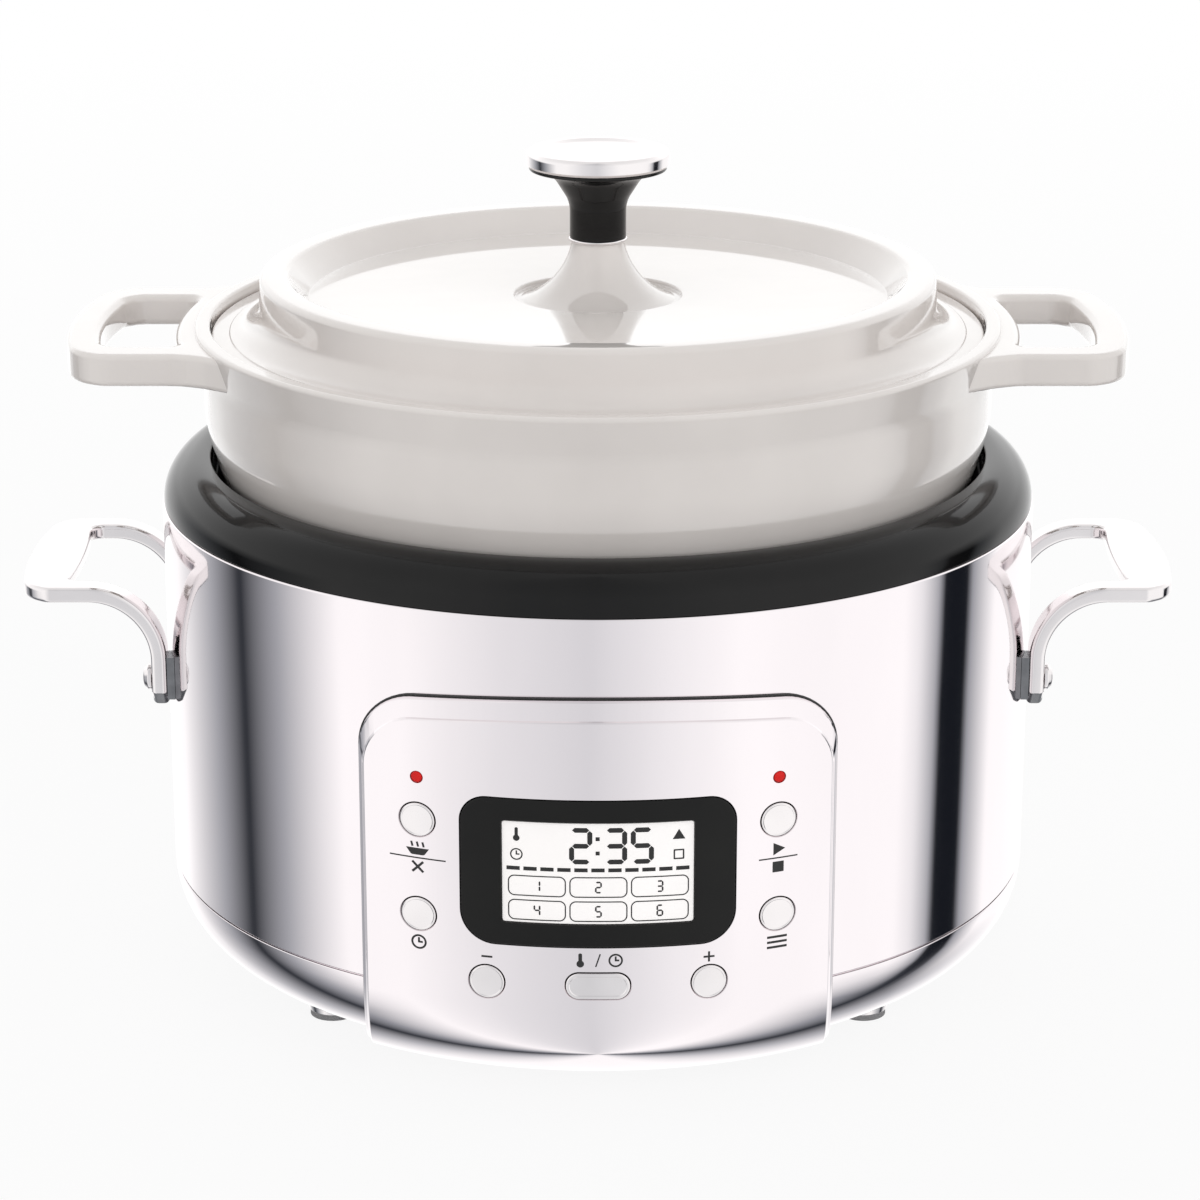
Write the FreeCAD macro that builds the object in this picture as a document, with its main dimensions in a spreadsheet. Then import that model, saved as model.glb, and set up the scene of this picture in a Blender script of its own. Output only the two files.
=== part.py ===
import FreeCAD, Part
import math
import os
import re
import Sketcher

# Slow cooker with a lift-out pot. Millimetres, +Z up, front towards -Y,
# origin on the floor under the centre of the body.

# Driving dimensions, one named cell each.
sizes = {
    # Body shell
    "bodyRadius": 150,
    "footHeight": 13,
    "baseCurve": 29,
    "wrapHeight": 128,
    "wrapWall": 1.2,
    "panWall": 1.6,
    "panLipHeight": 6,
    "fitGap": 0.15,
    # Collar round the pot well
    "collarWidth": 17,
    "collarRise": 14.8,
    "collarWall": 3,
    "collarSkirt": 8,
    # Pot
    "heaterRoom": 105,
    "potFloorIn": 42.5,
    "potCorner": 26,
    "potTaper": 17,
    "potShoulder": 27,
    "potShoulderOut": 1.5,
    "potWall": 5,
    "potBottomWall": 6,
    "potRimHeight": 60.7,
    "potRimOut": 3.2,
    "potRimDepth": 4,
    "rebateDepth": 6,
    "rebateLedge": 2.5,
    "restGap": 0.3,
    # Pot handles
    "earReach": 42.3,
    "earHalfWidth": 50,
    "earThick": 11,
    "earDrop": 1.7,
    "earGrip": 11.5,
    "earSide": 13,
    "earCorner": 12,
    "earHoleCorner": 6,
    "earHoleGap": 5.8,
    # Lid
    "lidGap": 0.5,
    "flangeThick": 2.8,
    "flangeWidth": 15.9,
    "lidFillet": 6,
    "lidRimRise": 21.9,
    "lidRimEdge": 4,
    "lidRimFlat": 6.6,
    "lidSlope": 10,
    "lidDrop": 8.6,
    "lidWall": 3,
    "recessRadius": 28.5,
    "recessDepth": 1.4,
    "coneBase": 26.3,
    "coneTop": 9,
    "coneRise": 18.5,
    "coneRound": 24,
    # Knob
    "ferruleRadius": 10,
    "ferruleThick": 1.2,
    "neckRadius": 9.7,
    "neckHeight": 9,
    "neckFlare": 13.5,
    "neckRound": 14.2,
    "neckRimRadius": 23.4,
    "neckRim": 2,
    "capRadius": 24.3,
    "capThick": 5.6,
    "capEdge": 1.6,
    "capDish": 1,
    "knobScrewRadius": 2.5,
    "knobScrewHead": 5,
    "knobScrewHeadTall": 2.6,
    # Pot well and heater
    "linerWall": 1,
    "linerTopGap": 0.8,
    "linerFlange": 4.5,
    "linerTaper": 22.2,
    "linerFootSunk": 6,
    "linerLedge": 11,
    "bandThick": 6,
    "bandSunk": 10,
    "bandGap": 6.7,
    "plateOver": 6,
    "plateThick": 10,
    "shieldGap": 13,
    "shieldWall": 1.2,
    "shieldInset": 6,
    "elementInset": 32,
    "elementTube": 4,
    "postRadius": 4,
    "postInset": 12,
    "sensorRadius": 8.5,
    "sensorGap": 0.5,
    "sensorCapTall": 3,
    "sensorStem": 3,
    "sensorStemTall": 14,
    "sensorTravel": 3,
    "housingRadius": 14,
    "housingWall": 2.5,
    "springRadius": 6,
    "springWall": 1.5,
    "cutoutRing": 40,
    "cutoutRadius": 8,
    "cutoutTall": 7,
    # Control panel and display
    "panelProud": 5,
    "panelHalfWidth": 75.7,
    "panelGap": 0.3,
    "panelTop": 144.2,
    "panelSideTop": 139.8,
    "panelCorner": 17,
    "windowHalfWidth": 71,
    "windowHigh": 126,
    "windowDrop": 4,
    "frameHalfWidth": 43.3,
    "frameLow": 63,
    "frameHigh": 112.1,
    "frameTopCorner": 8.5,
    "frameLowCorner": 11,
    "frameProud": 0.4,
    "frameDeep": 4,
    "lensHalfWidth": 30.3,
    "lensLow": 70.5,
    "lensHigh": 104.7,
    "lensSunk": 0.6,
    "lensThick": 1.5,
    "lensCorner": 1,
    "lcdMargin": 3,
    # Buttons, lights and their board
    "buttonRadius": 5.5,
    "buttonGap": 0.4,
    "buttonProud": 0.3,
    "buttonSideX": 57,
    "buttonUpperZ": 102,
    "buttonLowerZ": 70,
    "buttonPairX": 35.3,
    "buttonPairZ": 49.6,
    "longHalfWidth": 10.2,
    "longRadius": 4.4,
    "buttonFlange": 1.6,
    "buttonFlangeTall": 1.5,
    "stemRadius": 2,
    "stemLength": 2.5,
    "guideThick": 2.5,
    "guideGap": 0.3,
    "guideMargin": 1.5,
    "switchHalf": 3,
    "switchTall": 3.5,
    "switchGap": 1.8,
    "boardThick": 1.6,
    "boardMargin": 3,
    "boardPostRadius": 3,
    "boardPostInset": 4,
    "lightX": 57,
    "lightZ": 116.3,
    "lightRadius": 1.8,
    # Side handles
    "handleReach": 48,
    "handleHalfWidth": 42.5,
    "handleTop": 146,
    "handleThick": 5.4,
    "handleArm": 10,
    "handlePad": 17,
    "handleStand": 0.4,
    "handleBend": 26,
    "handleFootLow": 103,
    "handleCorner": 10,
    "handleHoleCorner": 5,
    "handleScrewZ": 113,
    "screwRadius": 2.5,
    "screwHead": 4.6,
    "screwHeadTall": 3.2,
    "screwTail": 5,
    "spacerInset": 1,
    "spacerDown": 7,
    "spacerUp": 8,
    # Underside
    "panFloor": 64,
    "coverOverlap": 6,
    "coverThick": 1.5,
    "footInset": 39,
    "footAngle": 35,
    "footRadius": 9,
    "padThick": 2,
    "padInset": 1,
    "coverScrewHead": 2.6,
    "coverScrewTall": 1.6,
    "basePostInset": 8,
    # Power board and inlet
    "powerHalfLength": 50,
    "powerHalfWidth": 32,
    "powerY": 20,
    "standoffRadius": 3.5,
    "standoffHeight": 12,
    "standoffInset": 6,
    "transformerLong": 36,
    "transformerWide": 30,
    "transformerTall": 28,
    "relayLong": 20,
    "relayWide": 16,
    "relayTall": 16,
    "capacitorRadius": 7,
    "capacitorTall": 25,
    "inletHalfWidth": 15,
    "inletHalfTall": 12,
    "inletZ": 62,
    "inletDeep": 26,
    "inletProud": 2,
    "inletWall": 3,
    "inletRecess": 18,
    "pinRadius": 1.6,
    "pinSpacing": 10,
    "pinLength": 14,
}

doc = FreeCAD.newDocument("slow_cooker")
sheet = doc.addObject("Spreadsheet::Sheet", "Sizes")
for row, (alias, size) in enumerate(sizes.items(), 1):
    sheet.set("A%d" % row, alias)
    sheet.set("B%d" % row, str(size))
    sheet.setAlias("B%d" % row, alias)
doc.recompute()

# Places that several pieces share, as expressions of the cells.
seamZ = "(footHeight + baseCurve)"
collarZ = "(footHeight + baseCurve + wrapHeight)"
wrapInside = "(bodyRadius - wrapWall)"
panInside = "(bodyRadius - wrapWall - fitGap - panWall)"
panFloorZ = "(footHeight + wrapWall + fitGap + panWall)"
panOpening = "(bodyRadius - panFloor)"
windowLow = "(footHeight + baseCurve - windowDrop)"
lipRadius = "(bodyRadius - collarWidth)"
potWallRadius = "(bodyRadius - collarWidth + potShoulderOut)"
potRimRadius = "(%s + potRimOut)" % potWallRadius
potFloorRadius = "(%s - potFloorIn)" % potWallRadius
potFloorZ = "(footHeight + heaterRoom)"
potShoulderZ = "(%s + potShoulder)" % collarZ
potRimZ = "(%s + potRimHeight)" % collarZ
ledgeRadius = "(%s - potWall)" % potWallRadius
rebateRadius = "(%s - potWall + rebateLedge)" % potWallRadius
ledgeZ = "(%s - rebateDepth)" % potRimZ
earRadius = "(%s + earReach)" % potRimRadius
lidBottomZ = "(%s + restGap)" % ledgeZ
flangeRadius = "(%s - lidGap)" % rebateRadius
flangeTopZ = "(%s + flangeThick)" % lidBottomZ
lidWallRadius = "(%s - flangeWidth)" % flangeRadius
lidTopZ = "(%s + lidRimRise)" % lidBottomZ
lidDiscZ = "(%s - lidDrop)" % lidTopZ
lidDiscRadius = "(%s - lidRimEdge - lidRimFlat - lidSlope)" % lidWallRadius
coneTopZ = "(%s + coneRise)" % lidDiscZ
neckZ = "(%s + ferruleThick)" % coneTopZ
neckRimZ = "(%s + neckHeight + neckFlare)" % neckZ
capZ = "(%s + neckRim)" % neckRimZ
knobBore = "(knobScrewRadius + fitGap)"
plateTopZ = "(%s - restGap)" % potFloorZ
plateLowZ = "(%s - plateThick)" % plateTopZ
plateRadius = "(%s + plateOver)" % potFloorRadius
linerTopZ = "(%s - collarSkirt)" % collarZ
linerTopRadius = "(%s - linerTopGap)" % lipRadius
linerFootZ = "(%s - linerFootSunk)" % potFloorZ
linerFootRadius = "(%s - linerTaper)" % linerTopRadius
linerSlope = "((%s - %s) / (%s - %s))" % (linerTopRadius, linerFootRadius, linerTopZ, linerFootZ)
shieldZ = "(%s - shieldGap)" % plateLowZ
shieldTopZ = "(%s + shieldWall)" % shieldZ
faceRadius = "(bodyRadius + panelProud)"
panelInside = "(bodyRadius + panelGap)"
guideY = "sqrt(bodyRadius ^ 2 - windowHalfWidth ^ 2)"
guideBackY = "(%s - guideThick)" % guideY
flangeY = "(%s - guideGap)" % guideBackY
stemEndY = "(%s - buttonFlangeTall - stemLength)" % flangeY
switchY = "(%s - switchGap)" % stemEndY
boardY = "(%s - switchTall)" % switchY
boardHalfWidth = "(windowHalfWidth - guideMargin)"
boardLow = "(buttonPairZ - buttonRadius - buttonFlange - guideMargin)"
boardHigh = "(lightZ + boardMargin)"
handleOuter = "(bodyRadius + handleReach)"
handleOpening = "(handleHalfWidth - handleArm)"
footInnerX = "(sqrt(bodyRadius ^ 2 - %s ^ 2) + handleStand)" % handleOpening
footOuterX = "(%s + handleThick)" % footInnerX
handleScrewY = "(handleHalfWidth - handleArm / 2)"
powerZ = "(footHeight + standoffHeight)"
inletFaceY = "(bodyRadius + inletProud)"
inletFloorY = "(%s - inletRecess)" % inletFaceY

parts = []


def sized(text):
    return re.sub(r"[A-Za-z]\w*", lambda word: "Sizes." * (word.group() in sizes) + word.group(), text)


def number(text):
    return float(sheet.evalExpression(sized(text)))


def bind(thing, **expressions):
    for name, text in expressions.items():
        thing.setExpression(name.replace("_", "."), sized(text))


def finished(piece):
    parts.append(piece)
    return piece


# Sketches: every point and radius of an outline is tied to an expression.

def arcBetween(start, end, radius, turn):
    # Short arc from start to end, turning left or right.
    chord = end - start
    height = math.sqrt(max(radius ** 2 - (chord.Length / 2) ** 2, 0))
    side = 1 if turn == "left" else -1
    across = FreeCAD.Vector(-chord.y, chord.x, 0).normalize() * (height * side)
    centre = start + chord / 2 + across
    angles = [math.atan2(spot.y - centre.y, spot.x - centre.x) for spot in (start, end)]
    first, last = angles if turn == "left" else reversed(angles)
    return Part.ArcOfCircle(Part.Circle(centre, FreeCAD.Vector(0, 0, 1), radius), first, last)


def hold(sketch, geometry, end, axis, text):
    # Ties one coordinate of a point to its expression.
    if text == "0":
        other = -2 if axis == "X" else -1
        sketch.addConstraint(Sketcher.Constraint("PointOnObject", geometry, end, other))
        return
    rule = sketch.addConstraint(Sketcher.Constraint("Distance" + axis, geometry, end, number(text)))
    sketch.setExpression("Constraints[%d]" % rule, sized(text))


def holdRadius(sketch, geometry, text):
    rule = sketch.addConstraint(Sketcher.Constraint("Radius", geometry, number(text)))
    sketch.setExpression("Constraints[%d]" % rule, sized(text))


def drawLoop(sketch, loop):
    # Each point is (x, y), or (x, y, radius, turn) where an arc runs on to the next point.
    spots = [FreeCAD.Vector(number(point[0]), number(point[1]), 0) for point in loop]
    base = sketch.GeometryCount
    ends = []
    for index, point in enumerate(loop):
        start = spots[index]
        end = spots[(index + 1) % len(loop)]
        if len(point) == 2:
            sketch.addGeometry(Part.LineSegment(start, end))
        else:
            sketch.addGeometry(arcBetween(start, end, number(point[2]), point[3]))
        ends.append((2, 1) if len(point) == 4 and point[3] == "right" else (1, 2))
    for index, point in enumerate(loop):
        after = (index + 1) % len(loop)
        join = (base + index, ends[index][1], base + after, ends[after][0])
        sketch.addConstraint(Sketcher.Constraint("Coincident", *join))
        hold(sketch, base + index, ends[index][0], "X", point[0])
        hold(sketch, base + index, ends[index][0], "Y", point[1])
        if len(point) == 4:
            holdRadius(sketch, base + index, point[2])


def drawCircle(sketch, x, y, radius):
    spot = FreeCAD.Vector(number(x), number(y), 0)
    circle = sketch.addGeometry(Part.Circle(spot, FreeCAD.Vector(0, 0, 1), number(radius)))
    hold(sketch, circle, 3, "X", x)
    hold(sketch, circle, 3, "Y", y)
    holdRadius(sketch, circle, radius)


def newSketch(body, plane, loops=(), circles=(), offset=None):
    sketch = body.newObject("Sketcher::SketchObject", body.Label + "_outline")
    support = [feature for feature in body.Origin.OriginFeatures if feature.Role == plane][0]
    sketch.AttachmentSupport = [(support, "")]
    sketch.MapMode = "FlatFace"
    if offset:
        sketch.setExpression("AttachmentOffset.Base.z", sized(offset))
    for loop in loops:
        drawLoop(sketch, loop)
    for circle in circles:
        drawCircle(sketch, *circle)
    return sketch


# Outlines

def roundedBox(halfWidth, low, high, lowCorner, highCorner):
    return [
        ("-(%s - %s)" % (halfWidth, lowCorner), low),
        ("%s - %s" % (halfWidth, lowCorner), low, lowCorner, "left"),
        (halfWidth, "%s + %s" % (low, lowCorner)),
        (halfWidth, "%s - %s" % (high, highCorner), highCorner, "left"),
        ("%s - %s" % (halfWidth, highCorner), high),
        ("-(%s - %s)" % (halfWidth, highCorner), high, highCorner, "left"),
        ("-(%s)" % halfWidth, "%s - %s" % (high, highCorner)),
        ("-(%s)" % halfWidth, "%s + %s" % (low, lowCorner), lowCorner, "left"),
    ]


def plainBox(halfWidth, low, high):
    return [
        ("-(%s)" % halfWidth, low),
        (halfWidth, low),
        (halfWidth, high),
        ("-(%s)" % halfWidth, high),
    ]


def stadium(halfWidth, radius, z):
    # Long button outline, each round end as two quarter arcs.
    flat = "(%s - %s)" % (halfWidth, radius)
    low = "%s - %s" % (z, radius)
    high = "%s + %s" % (z, radius)
    return [
        ("-" + flat, low),
        (flat, low, radius, "left"),
        (halfWidth, z, radius, "left"),
        (flat, high),
        ("-" + flat, high, radius, "left"),
        ("-(%s)" % halfWidth, z, radius, "left"),
    ]


def roundedReach(outer, halfWidth, corner):
    # Outer end of a grip seen from above: two straight sides and an end concentric with the body,
    # with the corners tangent to both.
    reach = "(%s - %s)" % (outer, corner)
    centreX = "sqrt(%s ^ 2 - (%s - %s) ^ 2)" % (reach, halfWidth, corner)
    touchX = "%s * %s / %s" % (outer, centreX, reach)
    touchY = "%s * (%s - %s) / %s" % (outer, halfWidth, corner, reach)
    return [
        (centreX, "-" + halfWidth, corner, "left"),
        (touchX, "-" + touchY, outer, "left"),
        (touchX, touchY, corner, "left"),
        (centreX, halfWidth),
    ]


def roundedReturn(inner, halfWidth, corner):
    # Inner end of a grip's hole, which follows the round side of the pot.
    reach = "(%s + %s)" % (inner, corner)
    centreX = "sqrt(%s ^ 2 - (%s - %s) ^ 2)" % (reach, halfWidth, corner)
    touchX = "%s * %s / %s" % (inner, centreX, reach)
    touchY = "%s * (%s - %s) / %s" % (inner, halfWidth, corner, reach)
    return [
        (centreX, halfWidth, corner, "left"),
        (touchX, touchY, inner, "right"),
        (touchX, "-" + touchY, corner, "left"),
        (centreX, "-" + halfWidth),
    ]


def mirrored(loop):
    swap = {"left": "right", "right": "left"}
    return [("-(%s)" % point[0], point[1]) + tuple(swap.get(item, item) for item in point[2:])
            for point in loop]


def sided(loop, side):
    return loop if side == 1 else mirrored(loop)


# Features

def newBody(label):
    body = doc.addObject("PartDesign::Body", label)
    body.Label = label
    return body


def turnedBody(label, loop, plane="XZ_Plane", angle=360):
    # A piece turned about the vertical axis from its half section.
    body = newBody(label)
    spin = body.newObject("PartDesign::Revolution", label + "_turn")
    sketch = newSketch(body, plane, [loop])
    spin.Profile = sketch
    spin.ReferenceAxis = (sketch, ["V_Axis"])
    spin.Angle = angle
    spin.Midplane = angle < 360
    return body


def addPad(body, plane, loops, length, offset=None, both=False):
    sketch = newSketch(body, plane, loops, offset=offset)
    pad = body.newObject("PartDesign::Pad", body.Label + "_pad")
    pad.Profile = sketch
    if both:
        pad.SideType = "Symmetric"
    pad.setExpression("Length", sized(length))


def cutThrough(body, plane, loops=(), circles=(), way="both"):
    # Cuts right through from the plane: both ways, along its normal or against it.
    doc.recompute()
    before = body.Shape.Volume
    sketch = newSketch(body, plane, loops, circles)
    pocket = body.newObject("PartDesign::Pocket", body.Label + "_cut")
    pocket.Profile = sketch
    pocket.Type = "ThroughAll"
    if way == "both":
        pocket.SideType = "Symmetric"
    pocket.Reversed = way == "along"
    doc.recompute()
    if not body.Shape.Volume < before:
        raise RuntimeError("a cut missed " + body.Label)


def keepInside(body, plane, loop, halfWidth, low, high, way):
    # Trims a body to an outline: everything between the outline and a larger box goes.
    cutThrough(body, plane, [plainBox(halfWidth, low, high), loop], way=way)


def curvedPlate(label, innerRadius, outerRadius, low, high):
    # A plate curved with the body, across its front.
    return turnedBody(label, [
        ("-" + outerRadius, low),
        ("-" + innerRadius, low),
        ("-" + innerRadius, high),
        ("-" + outerRadius, high),
    ], plane="YZ_Plane", angle=90)


def primitive(kind, name, **expressions):
    piece = doc.addObject("Part::" + kind, name)
    piece.Label = name
    bind(piece, **expressions)
    return piece


def place(piece, x, y, z, turn=None):
    if turn:
        piece.Placement = FreeCAD.Placement(FreeCAD.Vector(), FreeCAD.Rotation(*turn))
    bind(piece, Placement_Base_x=x, Placement_Base_y=y, Placement_Base_z=z)
    return piece


def rod(name, radius, length, x="0", y="0", z="0", turn=None):
    return place(primitive("Cylinder", name, Radius=radius, Height=length), x, y, z, turn)


def block(name, length, width, height, x="0", y="0", z="0"):
    return place(primitive("Box", name, Length=length, Width=width, Height=height), x, y, z)


def combine(kind, name, base, tool):
    result = doc.addObject("Part::" + kind, name)
    result.Base = base
    result.Tool = tool
    result.Label = name
    return result


def grouped(label, pieces):
    group = doc.addObject("Part::Compound", label)
    group.Links = pieces
    group.Label = label
    return finished(group)


towardsBack = (FreeCAD.Vector(1, 0, 0), -90)
towardsRight = (FreeCAD.Vector(0, 1, 0), 90)
towardsLeft = (FreeCAD.Vector(0, 1, 0), -90)


# Body shell

def makeWrap():
    wrap = turnedBody("body_wrap", [
        (wrapInside, seamZ),
        ("bodyRadius", seamZ),
        ("bodyRadius", collarZ),
        (wrapInside, collarZ),
    ])
    cutThrough(wrap, "XZ_Plane", [plainBox("windowHalfWidth", windowLow, "windowHigh")], way="along")
    inlet = plainBox("(inletHalfWidth + fitGap)", "inletZ - inletHalfTall - fitGap",
                     "inletZ + inletHalfTall + fitGap")
    cutThrough(wrap, "XZ_Plane", [inlet], way="against")
    holes = [(sign + handleScrewY, "handleScrewZ", "screwRadius + fitGap") for sign in ("-", "")]
    cutThrough(wrap, "YZ_Plane", circles=holes)
    finished(wrap)


def makeBasePan():
    cornerRadius = "(bodyRadius - baseCurve)"
    lipOutside = "(%s + panWall)" % panInside
    lipTopZ = "(%s + panLipHeight)" % seamZ
    pan = turnedBody("base_pan", [
        (panOpening, "footHeight"),
        (cornerRadius, "footHeight", "baseCurve", "left"),
        ("bodyRadius", seamZ),
        (lipOutside, seamZ),
        (lipOutside, lipTopZ),
        (panInside, lipTopZ),
        (panInside, seamZ, "(%s - %s)" % (panInside, cornerRadius), "right"),
        (cornerRadius, panFloorZ),
        (panOpening, panFloorZ),
    ])
    cutThrough(pan, "XZ_Plane", [plainBox("windowHalfWidth", windowLow, "windowHigh")], way="along")
    finished(pan)


def makeUnderside():
    finished(rod("bottom_cover", "%s + coverOverlap" % panOpening, "coverThick",
                 z="footHeight - coverThick"))
    screws = []
    posts = []
    for index in range(4):
        turn = "(90 deg * %d + 45 deg)" % index
        ring = "(%s + coverOverlap / 2)" % panOpening
        screws.append(rod("cover_screw_%d" % index, "coverScrewHead", "coverScrewTall",
                          "%s * cos(%s)" % (ring, turn), "%s * sin(%s)" % (ring, turn),
                          "footHeight - coverThick - coverScrewTall"))
        ring = "(%s + basePostInset)" % panOpening
        posts.append(rod("base_post_%d" % index, "postRadius", "%s - %s" % (shieldZ, panFloorZ),
                         "%s * cos(%s)" % (ring, turn), "%s * sin(%s)" % (ring, turn), panFloorZ))
    grouped("cover_screws", screws)
    grouped("base_posts", posts)


def makeFeet():
    feet = []
    pads = []
    for index in range(4):
        acrossX = "(bodyRadius - footInset) * cos(footAngle * 1 deg) * %d" % (1, -1, -1, 1)[index]
        alongY = "(bodyRadius - footInset) * sin(footAngle * 1 deg) * %d" % (1, 1, -1, -1)[index]
        feet.append(rod("foot_%d" % index, "footRadius", "footHeight - padThick",
                        acrossX, alongY, "padThick"))
        pads.append(rod("foot_pad_%d" % index, "footRadius - padInset", "padThick", acrossX, alongY))
    grouped("feet", feet)
    grouped("foot_pads", pads)


def makeCollar():
    inner = "(%s + collarWall)" % lipRadius
    skirtOut = "(%s - fitGap)" % wrapInside
    skirtIn = "(%s - collarWall)" % skirtOut
    crownRadius = "(collarWidth ^ 2 + collarRise ^ 2) / (2 * collarWidth)"
    finished(turnedBody("top_collar", [
        (lipRadius, linerTopZ),
        (inner, linerTopZ),
        (inner, "%s + collarRise - 2 * collarWall" % collarZ),
        (skirtIn, collarZ),
        (skirtIn, linerTopZ),
        (skirtOut, linerTopZ),
        (skirtOut, collarZ),
        ("bodyRadius", collarZ, crownRadius, "left"),
        (lipRadius, "%s + collarRise" % collarZ),
    ]))


# Pot and lid

def makePot():
    taperX = "cos(potTaper * 1 deg)"
    taperZ = "(1 - sin(potTaper * 1 deg))"
    innerCorner = "(potCorner - potWall)"
    innerFloorZ = "(%s + potBottomWall)" % potFloorZ
    pot = turnedBody("pot", [
        ("0", potFloorZ),
        (potFloorRadius, potFloorZ, "potCorner", "left"),
        ("%s + potCorner * %s" % (potFloorRadius, taperX), "%s + potCorner * %s" % (potFloorZ, taperZ)),
        (potWallRadius, potShoulderZ),
        (potWallRadius, "%s - potRimDepth - potRimOut" % potRimZ, "potRimOut", "right"),
        (potRimRadius, "%s - potRimDepth" % potRimZ),
        (potRimRadius, potRimZ),
        (rebateRadius, potRimZ),
        (rebateRadius, ledgeZ),
        (ledgeRadius, ledgeZ),
        (ledgeRadius, potShoulderZ),
        ("%s + %s * %s" % (potFloorRadius, innerCorner, taperX),
         "%s + %s * %s" % (innerFloorZ, innerCorner, taperZ), innerCorner, "right"),
        (potFloorRadius, innerFloorZ),
        ("0", innerFloorZ),
    ])
    rootRadius = "(%s - potWall / 3)" % potWallRadius
    rootX = "sqrt(%s ^ 2 - earHalfWidth ^ 2)" % rootRadius
    ear = roundedReach(earRadius, "earHalfWidth", "earCorner")
    ear += [(rootX, "earHalfWidth", rootRadius, "right"), (rootX, "-earHalfWidth")]
    earLowZ = "%s - earDrop - earThick" % potRimZ
    addPad(pot, "XY_Plane", [ear, mirrored(ear)], "earThick", offset=earLowZ)
    holeHalf = "(earHalfWidth - earSide)"
    hole = roundedReach("(%s - earGrip)" % earRadius, holeHalf, "earHoleCorner")
    hole += roundedReturn("(%s + earHoleGap)" % potRimRadius, holeHalf, "earHoleCorner")
    cutThrough(pot, "XY_Plane", [hole, mirrored(hole)])
    finished(pot)


def makeLid():
    underZ = "(%s - lidWall)" % lidDiscZ
    rimUnderZ = "(%s - lidWall)" % lidTopZ
    wallInside = "(%s - lidWall)" % lidWallRadius
    rimInside = "(%s - lidRimEdge - lidRimFlat)" % lidWallRadius
    finished(turnedBody("lid", [
        (knobBore, underZ),
        ("%s + lidWall / 2" % lidDiscRadius, underZ),
        ("%s + lidWall / 2" % rimInside, rimUnderZ),
        (wallInside, rimUnderZ),
        (wallInside, lidBottomZ),
        (flangeRadius, lidBottomZ),
        (flangeRadius, flangeTopZ),
        ("%s + lidFillet" % lidWallRadius, flangeTopZ, "lidFillet", "right"),
        (lidWallRadius, "%s + lidFillet" % flangeTopZ),
        (lidWallRadius, "%s - lidRimEdge" % lidTopZ, "lidRimEdge", "left"),
        ("%s - lidRimEdge" % lidWallRadius, lidTopZ),
        (rimInside, lidTopZ),
        (lidDiscRadius, lidDiscZ),
        ("recessRadius", lidDiscZ),
        ("recessRadius", "%s - recessDepth" % lidDiscZ),
        ("coneBase", "%s - recessDepth" % lidDiscZ, "coneRound", "right"),
        ("coneTop", coneTopZ),
        (knobBore, coneTopZ),
    ]))


def makeKnob():
    finished(turnedBody("knob_ferrule", [
        (knobBore, coneTopZ),
        ("ferruleRadius", coneTopZ),
        ("ferruleRadius", neckZ),
        (knobBore, neckZ),
    ]))
    finished(turnedBody("knob_neck", [
        (knobBore, neckZ),
        ("neckRadius", neckZ),
        ("neckRadius", "%s + neckHeight" % neckZ, "neckRound", "right"),
        ("neckRimRadius", neckRimZ),
        ("neckRimRadius", capZ),
        (knobBore, capZ),
    ]))
    dishRadius = "((capRadius - capEdge) ^ 2 + capDish ^ 2) / (2 * capDish)"
    finished(turnedBody("knob_cap", [
        ("0", capZ),
        ("capRadius", capZ),
        ("capRadius", "%s + capThick - capEdge" % capZ, "capEdge", "left"),
        ("capRadius - capEdge", "%s + capThick" % capZ, dishRadius, "right"),
        ("0", "%s + capThick - capDish" % capZ),
    ]))
    underZ = "(%s - lidWall)" % lidDiscZ
    finished(turnedBody("knob_screw", [
        ("0", "%s - knobScrewHeadTall" % underZ),
        ("knobScrewHead", "%s - knobScrewHeadTall" % underZ),
        ("knobScrewHead", underZ),
        ("knobScrewRadius", underZ),
        ("knobScrewRadius", "%s - fitGap" % capZ),
        ("0", "%s - fitGap" % capZ),
    ]))


# Pot well and heater

def makeWell():
    ledgeInside = "(%s - linerLedge)" % linerFootRadius
    finished(turnedBody("inner_liner", [
        (ledgeInside, "%s - linerWall" % linerFootZ),
        ("%s + linerWall" % linerFootRadius, "%s - linerWall" % linerFootZ),
        ("%s + linerWall" % linerTopRadius, "%s - linerWall" % linerTopZ),
        ("%s + linerFlange" % linerTopRadius, "%s - linerWall" % linerTopZ),
        ("%s + linerFlange" % linerTopRadius, linerTopZ),
        (linerTopRadius, linerTopZ),
        (linerFootRadius, linerFootZ),
        (ledgeInside, linerFootZ),
    ]))
    bandTopZ = "(%s - bandSunk)" % linerTopZ
    bandTop = "(%s + linerWall + restGap + (linerWall - bandSunk) * %s)" % (linerTopRadius, linerSlope)
    bandFootZ = "(%s + bandGap)" % boardHigh
    bandFoot = "(%s - (%s - %s) * %s)" % (bandTop, bandTopZ, bandFootZ, linerSlope)
    finished(turnedBody("insulation_band", [
        (bandFoot, bandFootZ),
        ("%s + bandThick" % bandFoot, bandFootZ),
        ("%s + bandThick" % bandTop, bandTopZ),
        (bandTop, bandTopZ),
    ]))


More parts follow.
